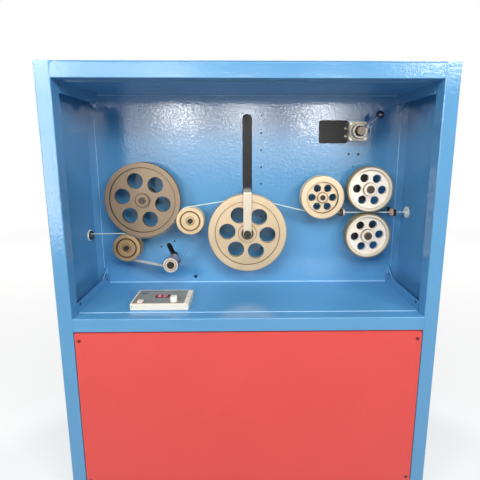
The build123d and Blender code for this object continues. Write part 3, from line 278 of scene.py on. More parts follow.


# The rings and the dark colour given to each wheel below are painted shade in its steps and grooves.
capstan_metal = turned_metal(
    "brown hard-anodised aluminium",
    "capstan_wheel",
    "#6A5A49",
    "#86745F",
    0.5,
    metallic=0.55,
    rings=[(120, 1.8), (25, 1.8)],
    groove_shade="#43362A",
)
# Radii and half widths of the painted shade rings on the rollers' steps and grooves.
roller_shade_rings = [(35.4, 3.2), (15.5, 1.3)]
cream_metals = {
    "press_roller": turned_metal(
        "worn anodised aluminium, press roller",
        "press_roller",
        "#8A7050",
        "#B0956F",
        0.4,
        metallic=0.55,
        spacing=4,
        rings=roller_shade_rings,
        groove_shade="#402C17",
    ),
    "guide_pulley": turned_metal(
        "cream anodised aluminium, guide pulley",
        "guide_pulley",
        "#B39B76",
        "#C9B28E",
        0.42,
        metallic=0.35,
        rings=roller_shade_rings,
        groove_shade="#6E5231",
    ),
    "dancer_wheel": turned_metal(
        "cream anodised aluminium, dancer wheel",
        "dancer_wheel",
        "#B59F7E",
        "#C5B091",
        0.42,
        metallic=0.3,
        rings=[(120, 1.5), (34, 1.4)],
        groove_shade="#7C6040",
    ),
    "guide_wheel": turned_metal(
        "cream anodised aluminium, guide wheel",
        "guide_wheel",
        "#BFA988",
        "#CEBA9B",
        0.42,
        metallic=0.3,
        rings=[(57.4, 1.5), (19.2, 1.7)],
        groove_shade="#5E4429",
    ),
}
bright_metals = {
    node: turned_metal(
        "bright turned aluminium, " + node,
        node,
        "#E4DAC9",
        "#F1E8D9",
        0.5,
        metallic=0.25,
        stain=40,
        rings=[(24.6, 1.2)],
        groove_shade="#8D8169",
    )
    for node in ("upper_pinch_core", "lower_pinch_core")
}
# Painted shade: the front lip of each pinch core takes a darker copy of its metal, to hold down the lamps' glare on
# that face.
shade_painted_lips = {
    node: turned_metal("shade-painted lip of the " + node, node, "#D4C6B0", "#E3D6C1", 0.5, metallic=0.25, stain=40)
    for node in ("upper_pinch_core", "lower_pinch_core")
}
bright_metals["tension_roller"] = turned_metal(
    "bright turned aluminium, tension roller",
    "tension_roller",
    "#C9BDA6",
    "#D8CDB8",
    0.38,
    metallic=0.3,
    rings=[(20.2, 1.4), (13.6, 1.6)],
    groove_shade="#4E3B28",
)
grey_barrel = turned_metal(
    "grey anodised barrel", "tension_roller", "#8E8A96", "#A7A3AC", 0.4, metallic=0.6, stain=20
)
print(4 + len(cream_metals) + len(bright_metals), "turned finishes")

# %% [markdown]
# ## Steel, plating and cast metal
#
# Axles, bolts and blocks are steel: ground bright where something slides, zinc plated on the feet and blackened
# with hot oil on the socket screws. All three are the same metal under a different skin, so one function makes
# them, with fine streaks along the way the piece was drawn or ground.


# %% Steels
def drawn_steel(name, dark, light, roughness, metallic=1.0, streak=(1, 1, 1), size=14):
    finish, tree, shader = new_finish(name, Metallic=metallic)
    place = own_place(tree)
    streaks = grain(tree, place, size, 4, stretch=streak)
    grit = grain(tree, place, 2.5, 2)
    rough = between(tree, streaks, roughness - 0.08, roughness + 0.08)
    wear(shader, tree, blend_of(tree, streaks, dark, light), rough, bump(tree, grit, 0.05))
    return finish


ground_steel = drawn_steel("ground steel", "#A7A6A2", "#C9C7C2", 0.28, streak=(1, 0.15, 1))
zinc_steel = drawn_steel("zinc plated steel", "#A9ACAE", "#C8CBCD", 0.35)
black_steel = drawn_steel("oil blackened steel", "#25231F", "#3B3833", 0.42, metallic=0.8)
nickel_brass = drawn_steel("nickel plated brass", "#B9AE93", "#D8D0BC", 0.25)
cast_alloy = drawn_steel("die-cast alloy", "#878174", "#A39D90", 0.42, metallic=0.5, size=9)
lever_steel = drawn_steel("polished lever steel", "#636A75", "#828994", 0.26, metallic=0.8)
bar_steel = drawn_steel("satin pale steel bar", "#BBAE9A", "#CBBFAC", 0.42, metallic=0.2, streak=(1, 1, 0.12))
brown_steel = drawn_steel("bronzed steel screw", "#4B4038", "#665A50", 0.4, metallic=0.6, size=6)
bronzed_spindle = drawn_steel("bronzed spindle steel", "#33261C", "#4C3B2D", 0.5, metallic=0.1, size=6)
oiled_steel = drawn_steel("oiled dark steel", "#2C2B2D", "#3B393B", 0.5, metallic=0.4, size=20)
rail_steel = drawn_steel("greased guide rail steel", "#B6B7C2", "#CCCDD6", 0.4, metallic=0.4, streak=(1, 1, 0.12))
# Painted shade: a flat, non-metallic dark navy, the colour of the shade in the panel's small holes, for the screws and
# plugs that sit in them.
navy_shade_steel = drawn_steel("dark navy screw, painted shade", "#0C1119", "#161D28", 0.6, metallic=0.0, size=5)
greased_race = drawn_steel("greased bearing steel", "#8B775B", "#A9957A", 0.45, metallic=0.4, size=5)
bright_screw = drawn_steel("bright zinc plated steel", "#B5B1A4", "#CBC7BA", 0.35, metallic=0.5, size=5)
rusty_screw = drawn_steel("rust-browned screw", "#57231C", "#7A3A2C", 0.55, metallic=0.3, size=3)
print("steels: ground, zinc plated, blackened, bronzed, satin bar")

# %% [markdown]
# ## Rubber, belt, plastics and glaze
#
# The pinch rollers carry khaki polyurethane tyres, dull from the wire. The press belt is a flat woven belt with
# a rubber face: from the front one sees its edge and a pale weave. The wire has a pale extruded plastic sheath.
# Guide eyelets are glazed ceramic, hard enough that the wire doesn't cut them. The controller's case and knob are
# moulded plastic with a fine spark-eroded grain.


# %% Soft and moulded finishes
def moulded(name, dark, light, roughness, size=30, dimple=1.5, depth=0.03, ior=1.46, **constants):
    """A moulded, pressed or glazed skin: clouds `size` mm wide and dimples `dimple` mm wide."""
    finish, tree, shader = new_finish(name, IOR=ior, **constants)
    place = own_place(tree)
    cloud = grain(tree, place, size, 3)
    skin = bump(tree, grain(tree, place, dimple, 1), depth)
    rough = between(tree, cloud, roughness - 0.05, roughness + 0.05)
    wear(shader, tree, blend_of(tree, cloud, dark, light), rough, skin)
    return finish


tyre_rubber = moulded("khaki polyurethane tyre", "#766C50", "#8E8365", 0.55, size=25, dimple=4, depth=0.1)
wire_sheath = moulded("pale extruded wire sheath", "#C6D6C6", "#DCEADC", 0.3, size=50, dimple=6)
pink_glaze = moulded("copper-pink glazed ceramic", "#DDAE98", "#EEC8B4", 0.2, size=8, dimple=3)
pale_glaze = moulded("pale glazed ceramic", "#EBEBE0", "#F7F7EF", 0.18, size=12, dimple=4)
black_collar = moulded("black rubber collar", "#15191C", "#23282B", 0.5, size=8, dimple=3)
black_phenolic = moulded("black phenolic ball", "#33343F", "#444551", 0.2, dimple=3)
cream_plastic = moulded("cream moulded plastic", "#EBDFCA", "#F2E7D6", 0.42)
knob_plastic = moulded("white moulded knob", "#F6F2E4", "#FBF8EE", 0.3, size=12)
rocker_plastic = moulded("pink-cream moulded plastic", "#F8E6D6", "#FCEEE2", 0.4)
face_paint = moulded("grey satin front foil", "#86857E", "#93918A", 0.35, size=60)
belt_edge = moulded("cut edge of the belt", "#56646C", "#6A7880", 0.6, size=20)
print_ink = moulded("dark printed film", "#4A5557", "#59656A", 0.35, size=12)
dark_window = moulded("dark display window", "#4A2027", "#5C2A31", 0.1, dimple=5, depth=0.005)
display_frame = moulded("black display bezel", "#191417", "#241D21", 0.3, dimple=3)
print("soft and moulded finishes: 14")


# %% Lit digits
def lit_plastic():
    """Red light-emitting digits: the plastic is lit from inside, so it gives off a little light of its own."""
    red_light = linear("#F0747C")
    finish, tree, shader = new_finish("red lit digits", **{"Emission Color": red_light, "Emission Strength": 0.7})
    cloud = grain(tree, own_place(tree), 3, 2)
    wear(shader, tree, blend_of(tree, cloud, "#D8525C", "#F09098"), between(tree, cloud, 0.3, 0.4))
    return finish


lit_digits = lit_plastic()
print(lit_digits.name)


# %% The woven belt
def woven_belt():
    """Plain weave: threads 1.2 mm apart on the real belt, drawn 4 mm apart so that they show."""
    finish, tree, shader = new_finish("pale woven belt", IOR=1.45)
    place = own_place(tree)
    turned = add_node(tree, "ShaderNodeMapping", {"Rotation": (0, math.radians(20), 0)}, {"Vector": place})
    weave = {"Scale": 0.314 / mm(4), "Distortion": 0.6, "Detail": 1.0}
    warp = add_node(tree, "ShaderNodeTexWave", weave, {"Vector": turned.outputs["Vector"]}, bands_direction="Y")
    weft = add_node(tree, "ShaderNodeTexWave", weave, {"Vector": turned.outputs["Vector"]}, bands_direction="X")
    threads = add_node(tree, "ShaderNodeMath", links={0: warp.outputs["Fac"], 1: weft.outputs["Fac"]}, operation="MULTIPLY")
    soil = grain(tree, place, 35, 4)
    rough = between(tree, soil, 0.6, 0.75)
    wear(shader, tree, blend_of(tree, soil, "#C9C8C0", "#DEDDD6"), rough, bump(tree, threads.outputs[0], 0.25))
    return finish


belt_weave = woven_belt()
print(belt_weave.name)

# %% [markdown]
# ## Dress the solids
#
# Each node of the frame takes the finish of the real piece. The list below reads as the machine does, from the
# cabinet to the controls.

# %% Finishes on the frame
dressed = {
    blue_coat: "corner_posts middle_posts cross_rails side_rails bay_side_panels side_cover_panels rear_panels "
    "panel_lugs top_cover floor_plate shelf_plate ceiling_plate corner_gussets back_panel",
    red_coat: "front_lower_panel",
    zinc_steel: "levelling_feet",
    capstan_metal: "capstan_wheel",
    oiled_steel: "spindle_bearings upper_pinch_slide dancer_carriage",
    rail_steel: "dancer_rail",
    bronzed_spindle: "upper_pinch_spindle lower_pinch_spindle capstan_shaft",
    black_steel: "roller_axles tension_block dancer_axle guide_holders",
    bar_steel: "dancer_yoke",
    tyre_rubber: "upper_pinch_tyre lower_pinch_tyre",
    belt_weave: "press_belt",
    wire_sheath: "wire_infeed wire_rising_span wire_over_dancer wire_falling_span wire_outfeed",
    pink_glaze: "guide_eyelets",
    pale_glaze: "wall_eyelets",
    cast_alloy: "valve_body",
    nickel_brass: "valve_fittings",
    lever_steel: "valve_lever",
    black_phenolic: "valve_ball",
    cream_plastic: "controller_case",
    knob_plastic: "speed_knob",
    rocker_plastic: "power_rocker",
    face_paint: "controller_face",
    dark_window: "display_window",
}
finish_of = {name: finish for finish, names in dressed.items() for name in names.split()}
finish_of.update(cream_metals)
finish_of.update(bright_metals)
for name, solid in nodes.items():
    solid.data.materials.clear()
    solid.data.materials.append(finish_of[name])
print(len(finish_of), "of", len(nodes), "nodes dressed")

# %% [markdown]
# Some solids are one piece but show two skins: the tension roller has a grey barrel behind a bright flange, the
# left wall eyelet has a black collar, a valve lever is a polished rod in a bronzed hub, and the belt's faces that
# point to the front and back are a darker grey. The sheet round the drive compartment is primed on its inner side.
# A face takes its finish from where its centre lies and which way it points, so no edge of the solid has to move.


# %% A second finish on part of a solid
def repaint(node, finish, chosen):
    """Gives finish to the faces of the node that pass the test `chosen`."""
    mesh = nodes[node].data
    mesh.materials.append(finish)
    slot = len(mesh.materials) - 1
    picked = [face for face in mesh.polygons if chosen(face)]
    for face in picked:
        face.material_index = slot
    return len(picked)


def off_axis(point, axis_point):
    return math.hypot(point.x - axis_point.x, point.z - axis_point.z)


tension_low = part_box("tension_roller")[0]
hub_axis = Vector((mm(400), 0, mm(1289)))
left_eyelet = Vector((0, mm(-52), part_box("wall_eyelets")[0].z + mm(21)))
painted = [
    repaint("tension_roller", grey_barrel, lambda f: f.center.y > tension_low.y + mm(1.5)),
    repaint("wall_eyelets", black_collar, lambda f: f.center.x < 0 and math.hypot(f.center.y - left_eyelet.y, f.center.z - left_eyelet.z) < mm(17.3)),
    repaint("valve_lever", brown_steel, lambda f: off_axis(f.center, hub_axis) < mm(15.2)),
    # The belt's faces that point to the front and back take a darker grey.
    repaint("press_belt", belt_edge, lambda f: abs(f.normal.y) > 0.7),
    repaint("back_panel", grey_primer, lambda f: f.normal.y > 0.7),
    repaint("rear_panels", grey_primer, lambda f: f.normal.y < -0.7),
    repaint("side_cover_panels", grey_primer, lambda f: f.normal.x * f.center.x < 0),
    repaint("top_cover", grey_primer, lambda f: f.normal.z < -0.7),
]
# The darker copy, painted shade against the glare, goes on the front-facing lip beyond 70 mm from the axis.
for node, lip in shade_painted_lips.items():
    axis = centre_of(node)
    painted.append(repaint(node, lip, lambda f: f.normal.y < -0.3 and off_axis(f.center, axis) > mm(70)))
print("faces repainted:", painted)

# %% [markdown]
# ## Screws, beads and ribs
#
# Screws repeat all over the machine, so one Geometry Nodes tree makes a screw from its named sizes: a tapered head
# with a hexagon cut out of it. The tree sets a copy on each point of a mesh, turned so that it stands along the
# point's own direction. Where a seam of the bay is closed with sealant, a second tree draws a bead along a path,
# with a slight ripple from the hand that laid it. Copies are made real at the end, and each result is kept as a
# plain mesh on its body.


# %% Trees that make what repeats
def new_rule(name, inputs):
    """An empty Geometry Nodes tree with a mesh in, a mesh out, and named inputs of (kind, value)."""
    tree = bpy.data.node_groups.new(name, "GeometryNodeTree")
    tree.interface.new_socket("Mesh", in_out="INPUT", socket_type="NodeSocketGeometry")
    tree.interface.new_socket("Mesh", in_out="OUTPUT", socket_type="NodeSocketGeometry")
    for label, (kind, value) in inputs.items():
        socket = tree.interface.new_socket(label, in_out="INPUT", socket_type="NodeSocket" + kind)
        if value is not None:
            socket.default_value = value
    return tree, add_node(tree, "NodeGroupInput").outputs


def close_rule(tree, geometry, finish):
    dressed_mesh = add_node(tree, "GeometryNodeSetMaterial", links={"Geometry": geometry, "Material": finish})
    add_node(tree, "NodeGroupOutput", links={0: dressed_mesh.outputs[0]})


def set_on_points(tree, given, copy):
    """A copy on every point, standing along the point's `facing` direction, made real."""
    facing = add_node(tree, "GeometryNodeInputNamedAttribute", {"Name": "facing"}, data_type="FLOAT_VECTOR")
    turn = add_node(
        tree, "FunctionNodeAlignRotationToVector", links={"Vector": facing.outputs["Attribute"]}, axis="Z"
    )
    links = {"Points": given["Mesh"], "Instance": copy, "Rotation": turn.outputs[0]}
    copies = add_node(tree, "GeometryNodeInstanceOnPoints", links=links)
    return add_node(tree, "GeometryNodeRealizeInstances", links={0: copies.outputs[0]}).outputs[0]


def screw_rule():
    sizes = {"Head radius": ("Float", 0.005), "Head height": ("Float", 0.003), "Socket radius": ("Float", 0.0025)}
    tree, given = new_rule("socket screws", {**sizes, "Finish": ("Material", None)})
    crown = add_node(tree, "ShaderNodeMath", {1: 0.8}, {0: given["Head radius"]}, operation="MULTIPLY").outputs[0]
    links = {"Radius Top": crown, "Radius Bottom": given["Head radius"], "Depth": given["Head height"]}
    head = add_node(tree, "GeometryNodeMeshCone", {"Vertices": 24}, links).outputs[0]
    links = {"Radius": given["Socket radius"], "Depth": given["Head height"]}
    key = add_node(tree, "GeometryNodeMeshCylinder", {"Vertices": 6}, links).outputs[0]
    lift = add_node(tree, "ShaderNodeCombineXYZ", links={"Z": given["Head height"]}).outputs[0]
    key = add_node(tree, "GeometryNodeTransform", links={0: key, "Translation": lift}).outputs[0]
    screw = add_node(tree, "GeometryNodeMeshBoolean", links={0: head, 1: key}, operation="DIFFERENCE").outputs[0]
    close_rule(tree, set_on_points(tree, given, screw), given["Finish"])
    return tree


def bead_rule():
    tree, given = new_rule(
        "sealing beads", {"Bead radius": ("Float", 0.002), "Ripple": ("Float", 0.0004), "Finish": ("Material", None)}
    )
    path = add_node(tree, "GeometryNodeMeshToCurve", links={0: given["Mesh"]}).outputs[0]
    path = add_node(tree, "GeometryNodeResampleCurve", {"Length": mm(12)}, {"Curve": path}, mode="LENGTH").outputs[0]
    section = add_node(tree, "GeometryNodeCurvePrimitiveCircle", {"Resolution": 10}, {"Radius": given["Bead radius"]})
    bead = add_node(
        tree, "GeometryNodeCurveToMesh", {"Fill Caps": True}, {"Curve": path, "Profile Curve": section.outputs[0]}
    ).outputs[0]
    waves = add_node(tree, "ShaderNodeTexNoise", {"Scale": 40.0, "Detail": 1.0}, noise_dimensions="3D").outputs["Color"]
    middle = add_node(tree, "ShaderNodeVectorMath", {1: (0.5, 0.5, 0.5)}, {0: waves}, operation="SUBTRACT").outputs[0]
    shift = add_node(
        tree, "ShaderNodeVectorMath", links={0: middle, "Scale": given["Ripple"]}, operation="SCALE"
    ).outputs[0]
    bead = add_node(tree, "GeometryNodeSetPosition", links={"Geometry": bead, "Offset": shift}).outputs[0]
    bead = add_node(tree, "GeometryNodeRealizeInstances", links={0: bead}).outputs[0]
    close_rule(tree, add_node(tree, "GeometryNodeSetShadeSmooth", links={0: bead}).outputs[0], given["Finish"])
    return tree


def run_rule(name, tree, body, slot, points, facings=None, edges=(), **inputs):
    """Runs a tree on points, keeps what it makes as a plain mesh, and lets it ride on a body."""
    places = bpy.data.meshes.new(name + "_places")
    places.from_pydata(points, edges, [])
    if facings:
        facing = places.attributes.new("facing", "FLOAT_VECTOR", "POINT")
        for spot, way in zip(facing.data, facings):
            spot.vector = way
    piece = bpy.data.objects.new(name, places)
    rule = piece.modifiers.new("rule", "NODES")
    rule.node_group = tree
    sockets = {item.name: item.identifier for item in tree.interface.items_tree if item.in_out == "INPUT"}
    for label, value in inputs.items():
        rule[sockets[label.replace("_", " ")]] = value
    scene.collection.objects.link(piece)
    made = bpy.data.meshes.new_from_object(piece.evaluated_get(bpy.context.evaluated_depsgraph_get()))
    piece.modifiers.clear()
    piece.data = made
    made.name = name
    bpy.data.meshes.remove(places)
    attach(piece, body)
    return piece


socket_screws, sealing_beads = screw_rule(), bead_rule()
print("rules:", socket_screws.name, "and", sealing_beads.name)

# %% [markdown]
# ### Where the screws sit
#
# Four screws hold the red panel and eight the rear panels, each sunk in its hole and long enough to reach the lug
# behind it. Nine hold the dancer's rail and show as dark dots in the back panel. Each bearing housing has four
# through its flange, the valve has one in each corner, and the controller has two small ones in its case. Five
# holes that this machine doesn't use are plugged, and two bolts a side hold the flange of the bay's floor. The
# rail screws, housing screws, plugs and floor bolts are real pieces in a flat dark navy: painted shade, the colour
# of a dark hole.


# %% Screws
def back_face():
    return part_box("back_panel")[0].y


def grid(xs, y, zs):
    return [(x, y, z) for x in xs for z in zs]


def screws(name, body, slot, finish, points, way, radius, height, socket):
    """Socket screws on points in metres, all facing one way; the sizes are in millimetres."""
    sizes = {"Head_radius": mm(radius), "Head_height": mm(height), "Socket_radius": mm(socket)}
    return run_rule(name, socket_screws, body, slot, points, [way] * len(points), Finish=finish, **sizes)


front, rear = (0, -1, 0), (0, 1, 0)
rear_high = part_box("rear_panels")[1]
rear_z = base_z + (mm(729), rear_high.z - mm(26))
screws("red_panel_screws", "cabinet", "dark_steel", rusty_screw, grid(screw_x, panel_low.y + mm(26), base_z), front, 3.2, 25.6, 1.5)
screws("rear_panel_screws", "cabinet", "zinc_steel", zinc_steel, grid(screw_x, rear_high.y - mm(26), rear_z), rear, 3.2, 25.6, 1.5)

rail_low, rail_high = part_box("dancer_rail")
bolts = 9
step = (rail_high.z - rail_low.z - mm(40)) / (bolts - 1)
rail_z = [rail_low.z + mm(20) + step * bolt for bolt in range(bolts)]
rail_x = (rail_low.x + rail_high.x) / 2
# Painted shade: these dark navy heads stand for the dark holes in the back panel.
screws("rail_screws", "cabinet", "dark_steel", navy_shade_steel, grid([rail_x], back_face(), rail_z), front, 3.8, 1.2, 1.8)


def on_circle(middle, y, radius, count, start):
    turns = [math.radians(start + 360 * step / count) for step in range(count)]
    return [(middle.x + radius * math.cos(t), y, middle.z + radius * math.sin(t)) for t in turns]


flange_y = back_face() - mm(11)
for node, body in (("capstan_shaft", "cabinet"), ("lower_pinch_spindle", "cabinet"), ("upper_pinch_slide", "upper_pinch_slide")):
    ring = on_circle(centre_of(node), flange_y + (mm(0.5) if "slide" in node else 0), mm(39), 4, 45)
    screws(node.replace("shaft", "housing").replace("spindle", "housing") + "_screws", body, "dark_steel", navy_shade_steel, ring, front, 4, 3, 2)

valve_middle = centre_of("valve_body")
tension_middle = centre_of("tension_roller")
# Painted shade: the plugs are dark navy discs where the panel's holes look dark.
spare = [(valve_middle.x + mm(x), back_face(), valve_middle.z - mm(z)) for x, z in ((-19, 83), (18, 83))]
screws("spare_hole_plugs", "cabinet", "dark_steel", navy_shade_steel, spare, front, 4.6, 0.8, 2)
small = [(valve_middle.x, back_face(), valve_middle.z - mm(129))]
small += [(tension_middle.x + mm(x), back_face(), tension_middle.z + mm(z)) for x, z in ((-1, 68), (-53, 45))]
screws("small_hole_plugs", "cabinet", "dark_steel", navy_shade_steel, small, front, 3.6, 0.8, 1.6)
for side, way in ((-1, (1, 0, 0)), (1, (-1, 0, 0))):
    flange_bolts = [(mm(553) * side, mm(y), mm(z)) for y, z in ((-262.5, 726), (-32, 722))]
    label = "left" if side < 0 else "right"
    screws(label + "_flange_bolts", "cabinet", "dark_steel", navy_shade_steel, flange_bolts, way, 4.6, 1.6, 2)
valve_front = back_face() - mm(42)
corners = on_circle(valve_middle, valve_front, mm(27) * math.sqrt(2), 4, 45)
screws("valve_screws", "cabinet", "bright_aluminium", bright_screw, corners, front, 5.2, 2.2, 2.0)

case_low, case_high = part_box("controller_case")
screws("case_front_screw", "cabinet", "dark_steel", black_steel, [(case_low.x + mm(7), case_low.y + mm(0.3), case_high.z - mm(10))], front, 1.8, 0.9, 0.9)
screws("case_top_screw", "cabinet", "dark_steel", black_steel, [(case_high.x - mm(8), (case_low.y + case_high.y) / 2, case_high.z - mm(0.3))], (0, 0, 1), 1.8, 0.9, 0.9)
print("screws:", 4 + 8 + bolts + 12 + 5 + 4 + 4 + 2)

# %% [markdown]
# ### Sealed seams and bare edges
#
# The back panel meets the bay's floor and ceiling in a seam that is closed with a painted bead of sealant. The
# bead is round, so somewhere on it the lamps always find their reflection, and it shows as a pale line; its coat
# is also a paler copy of the panel's, a painted highlight. The same thin bead runs along the cut edges of the
# gussets, to draw their edge highlight.

# %% Beads along the seams
shelf_low, shelf_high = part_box("shelf_plate")
ceiling_low, ceiling_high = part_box("ceiling_plate")
floor_z = mm(700)
roof_z = ceiling_high.z - mm(2)
seam_x = shelf_high.x - mm(3)
seam_y = back_face()
joint_y = shelf_low.y
seams = {
    "shelf_rear_bead": ([(-seam_x, seam_y - mm(0.8), floor_z + mm(0.8)), (seam_x, seam_y - mm(0.8), floor_z + mm(0.8))], 2.4),
    "ceiling_rear_bead": ([(-seam_x, seam_y - mm(0.8), roof_z - mm(0.8)), (seam_x, seam_y - mm(0.8), roof_z - mm(0.8))], 1.4),
    "shelf_front_bead": ([(-seam_x, joint_y, floor_z), (seam_x, joint_y, floor_z)], 1.5),
    "left_corner_bead": ([(-mm(571.5), seam_y, floor_z + mm(62)), (-mm(571.5), seam_y, roof_z - mm(62))], 1.3),
    "right_corner_bead": ([(mm(571.5), seam_y, floor_z + mm(62)), (mm(571.5), seam_y, roof_z - mm(62))], 1.3),
}
gusset_low, gusset_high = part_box("corner_gussets")
for side, hand in ((-1, "left"), (1, "right")):
    for level, rise, height in ((gusset_low.z, 1, "lower"), (gusset_high.z, -1, "upper")):
        edge_x = side * mm(561)
        tip = (edge_x, gusset_high.y - mm(1), level + rise * mm(60))
        toe = (edge_x, gusset_low.y + mm(45), level + rise * mm(30))
        foot = (edge_x, gusset_high.y - mm(1), level + rise * mm(34))
        seams[f"{height}_{hand}_gusset_edge"] = ([toe, tip, foot], 1.3)
# Every bead takes the paler coat, a painted highlight.
for name, (path, radius) in seams.items():
    runs = [(n, n + 1) for n in range(len(path) - 1)]
    run_rule(name, sealing_beads, "cabinet", "blue_paint", path, edges=runs, Bead_radius=mm(radius), Ripple=mm(0.5), Finish=painted_highlight_coat)
print("seams and edges:", len(seams))

# %% [markdown]
# ## Turned rings
#
# Bearings, washers and the valve's seal are rings: a closed section turned once round an axis. A lathe function in
# mesh code makes them. Each edge of the section can have a finish of its own, so a ball bearing is one ring with a
# greased outer race, a dark shield and a greased inner race, as it looks from the front.


# %% A lathe for rings
def turned_ring(name, body, middle, section, finishes, steps=72):
    """A ring round a front-to-back axis. The section's points are (radius, depth) in millimetres, depth from
    the middle's own y towards the back, and finishes names one finish for each edge of the section."""
    shape = bmesh.new()
    loops = []
    for step in range(steps):
        turn = 2 * math.pi * step / steps
        loops.append(
            [
                shape.verts.new(
                    (middle.x + mm(r) * math.cos(turn), middle.y + mm(d), middle.z + mm(r) * math.sin(turn))
                )
                for r, d in section
            ]
        )
    skins = list(dict.fromkeys(finishes))
    for step in range(steps):
        here, there = loops[step], loops[(step + 1) % steps]
        for edge in range(len(section)):
            after = (edge + 1) % len(section)
            face = shape.faces.new((here[edge], here[after], there[after], there[edge]))
            face.material_index = skins.index(finishes[edge])
            face.smooth = True
    bmesh.ops.recalc_face_normals(shape, faces=shape.faces)
    mesh = bpy.data.meshes.new(name)
    shape.to_mesh(mesh)
    shape.free()
    mesh.set_sharp_from_angle(angle=math.radians(30))
    for skin in skins:
        mesh.materials.append(skin)
    piece = bpy.data.objects.new(name, mesh)
    scene.collection.objects.link(piece)
    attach(piece, body)
    return piece


def washer(name, body, node, y, inner, outer, thick, finish):
    """A flat ring with a small bevel, its back face at y."""
    middle = centre_of(node)
    middle.y = y
    bevel = min(0.4, thick / 3)
    section = [(inner, 0), (outer, 0), (outer, -thick + bevel), (outer - bevel, -thick), (inner, -thick)]
    return turned_ring(name, body, middle, section, [finish] * 5)


def ball_bearing(name, body, node, y, bore, outside, thick):
    """A shielded ball bearing in a seat: its races stand a little proud of the shield between them."""
    middle = centre_of(node)
    middle.y = y
    race = (outside - bore) * 0.2
    section = [
        (bore, 0), (outside, 0), (outside, -thick), (outside - race, -thick), (outside - race, -thick + 0.8),
        (bore + race, -thick + 0.8), (bore + race, -thick), (bore, -thick),
    ]
    race_skin, shield = greased_race, bronzed_spindle
    skins = [race_skin, race_skin, race_skin, shield, shield, shield, race_skin, race_skin]
    return turned_ring(name, body, middle, section, skins)


dancer_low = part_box("dancer_wheel")[0]
guide_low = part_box("guide_wheel")[0]
ball_bearing("dancer_bearing", "dancer_wheel", "dancer_wheel", dancer_low.y + mm(5), 14.4, 24.6, 3.6)
washer("guide_hub_washer", "guide_wheel", "guide_wheel", guide_low.y + mm(3), 9.9, 16.8, 2.0, cream_metals["guide_wheel"])
for node in ("press_roller", "guide_pulley"):
    washer(node + "_washer", node, node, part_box(node)[0].y + mm(5.4), 9.9, 13.6, 1.6, cream_metals[node])
for side in ("upper", "lower"):
    node = side + "_pinch_core"
    washer(side + "_pinch_washer", side + "_pinch_roller", node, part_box(node)[0].y, 13.3, 15.6, 1.2, greased_race)
washer("capstan_washer", "capstan", "capstan_wheel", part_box("capstan_wheel")[0].y, 12.9, 19.5, 1.4, capstan_metal)
turret_middle = centre_of("valve_body")
turret_middle.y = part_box("valve_body")[0].y
seal = [(15.4, 2.8), (19.8, 2.8), (19.8, 0.4), (18.6, -0.6), (16.6, -0.6), (15.4, 0.4)]
turned_ring("valve_seal", "cabinet", turret_middle, seal, [black_collar] * 6)
for node in ("capstan_shaft", "upper_pinch_spindle", "lower_pinch_spindle"):
    body = {"capstan_shaft": "capstan"}.get(node, node.replace("spindle", "roller"))
    spot = centre_of(node)
    spot.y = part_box(node)[0].y
    screws(node + "_screw", body, "dark_steel", bronzed_spindle, [spot], front, 8.5, 1.6, 4.2)
print("bearing 1, washers 6, seal 1, hub screws 3")

# %% [markdown]
# ## The controller's face
#
# The small controller has a thin printed film on its face, a red two-digit display, and a knob with ribs for the
# fingers and short dial marks round it. Words on the real face are left out. A digit is made of bars: a tree sets a
# rounded bar on each point, along the point's direction, and the points are the segments that are lit.


# %% Bars for digits, marks and ribs
def bar_rule():
    tree, given = new_rule(
        "rounded bars", {"Bar radius": ("Float", 0.0005), "Bar length": ("Float", 0.005), "Finish": ("Material", None)}
    )
    links = {"Radius": given["Bar radius"], "Depth": given["Bar length"]}
    bar = add_node(tree, "GeometryNodeMeshCylinder", {"Vertices": 8}, links).outputs[0]
    close_rule(tree, set_on_points(tree, given, bar), given["Finish"])
    return tree


def lit_segments(digit, corner, width, height):
    """Middle and direction of the bars that show a digit, from its lower left corner, lying on a flat face."""
    half = height / 2
    across, along = (1, 0, 0), (0, 1, 0)
    bars = {
        "top": ((width / 2, height), across),
        "middle": ((width / 2, half), across),
        "bottom": ((width / 2, 0), across),
        "upper left": ((0, half * 1.5), along),
        "upper right": ((width, half * 1.5), along),
        "lower left": ((0, half * 0.5), along),
        "lower right": ((width, half * 0.5), along),
    }
    off = {6: ["upper right"], 0: ["middle"]}[digit]
    lit = [bar for label, bar in bars.items() if label not in off]
    return [(corner + Vector((x, y, 0)), way) for (x, y), way in lit]


def film(name, low, high, z, thick, finish, corner=1.0):
    """A thin plate with rounded corners on the controller's face."""
    shape = bmesh.new()
    reach = mm(corner)
    ring = []
    for x, y, start in ((high.x, high.y, 0), (low.x, high.y, 90), (low.x, low.y, 180), (high.x, low.y, 270)):
        inner_x = x - reach if x == high.x else x + reach
        inner_y = y - reach if y == high.y else y + reach
        for step in range(5):
            turn = math.radians(start + 22.5 * step)
            ring.append(shape.verts.new((inner_x + reach * math.cos(turn), inner_y + reach * math.sin(turn), z)))
    floor = shape.faces.new(ring)
    top = bmesh.ops.extrude_face_region(shape, geom=[floor])["geom"]
    bmesh.ops.translate(shape, vec=(0, 0, mm(thick)), verts=[v for v in top if isinstance(v, bmesh.types.BMVert)])
    bmesh.ops.recalc_face_normals(shape, faces=shape.faces)
    mesh = bpy.data.meshes.new(name)
    shape.to_mesh(mesh)
    shape.free()
    mesh.materials.append(finish)
    piece = bpy.data.objects.new(name, mesh)
    scene.collection.objects.link(piece)
    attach(piece, "cabinet")
    return piece


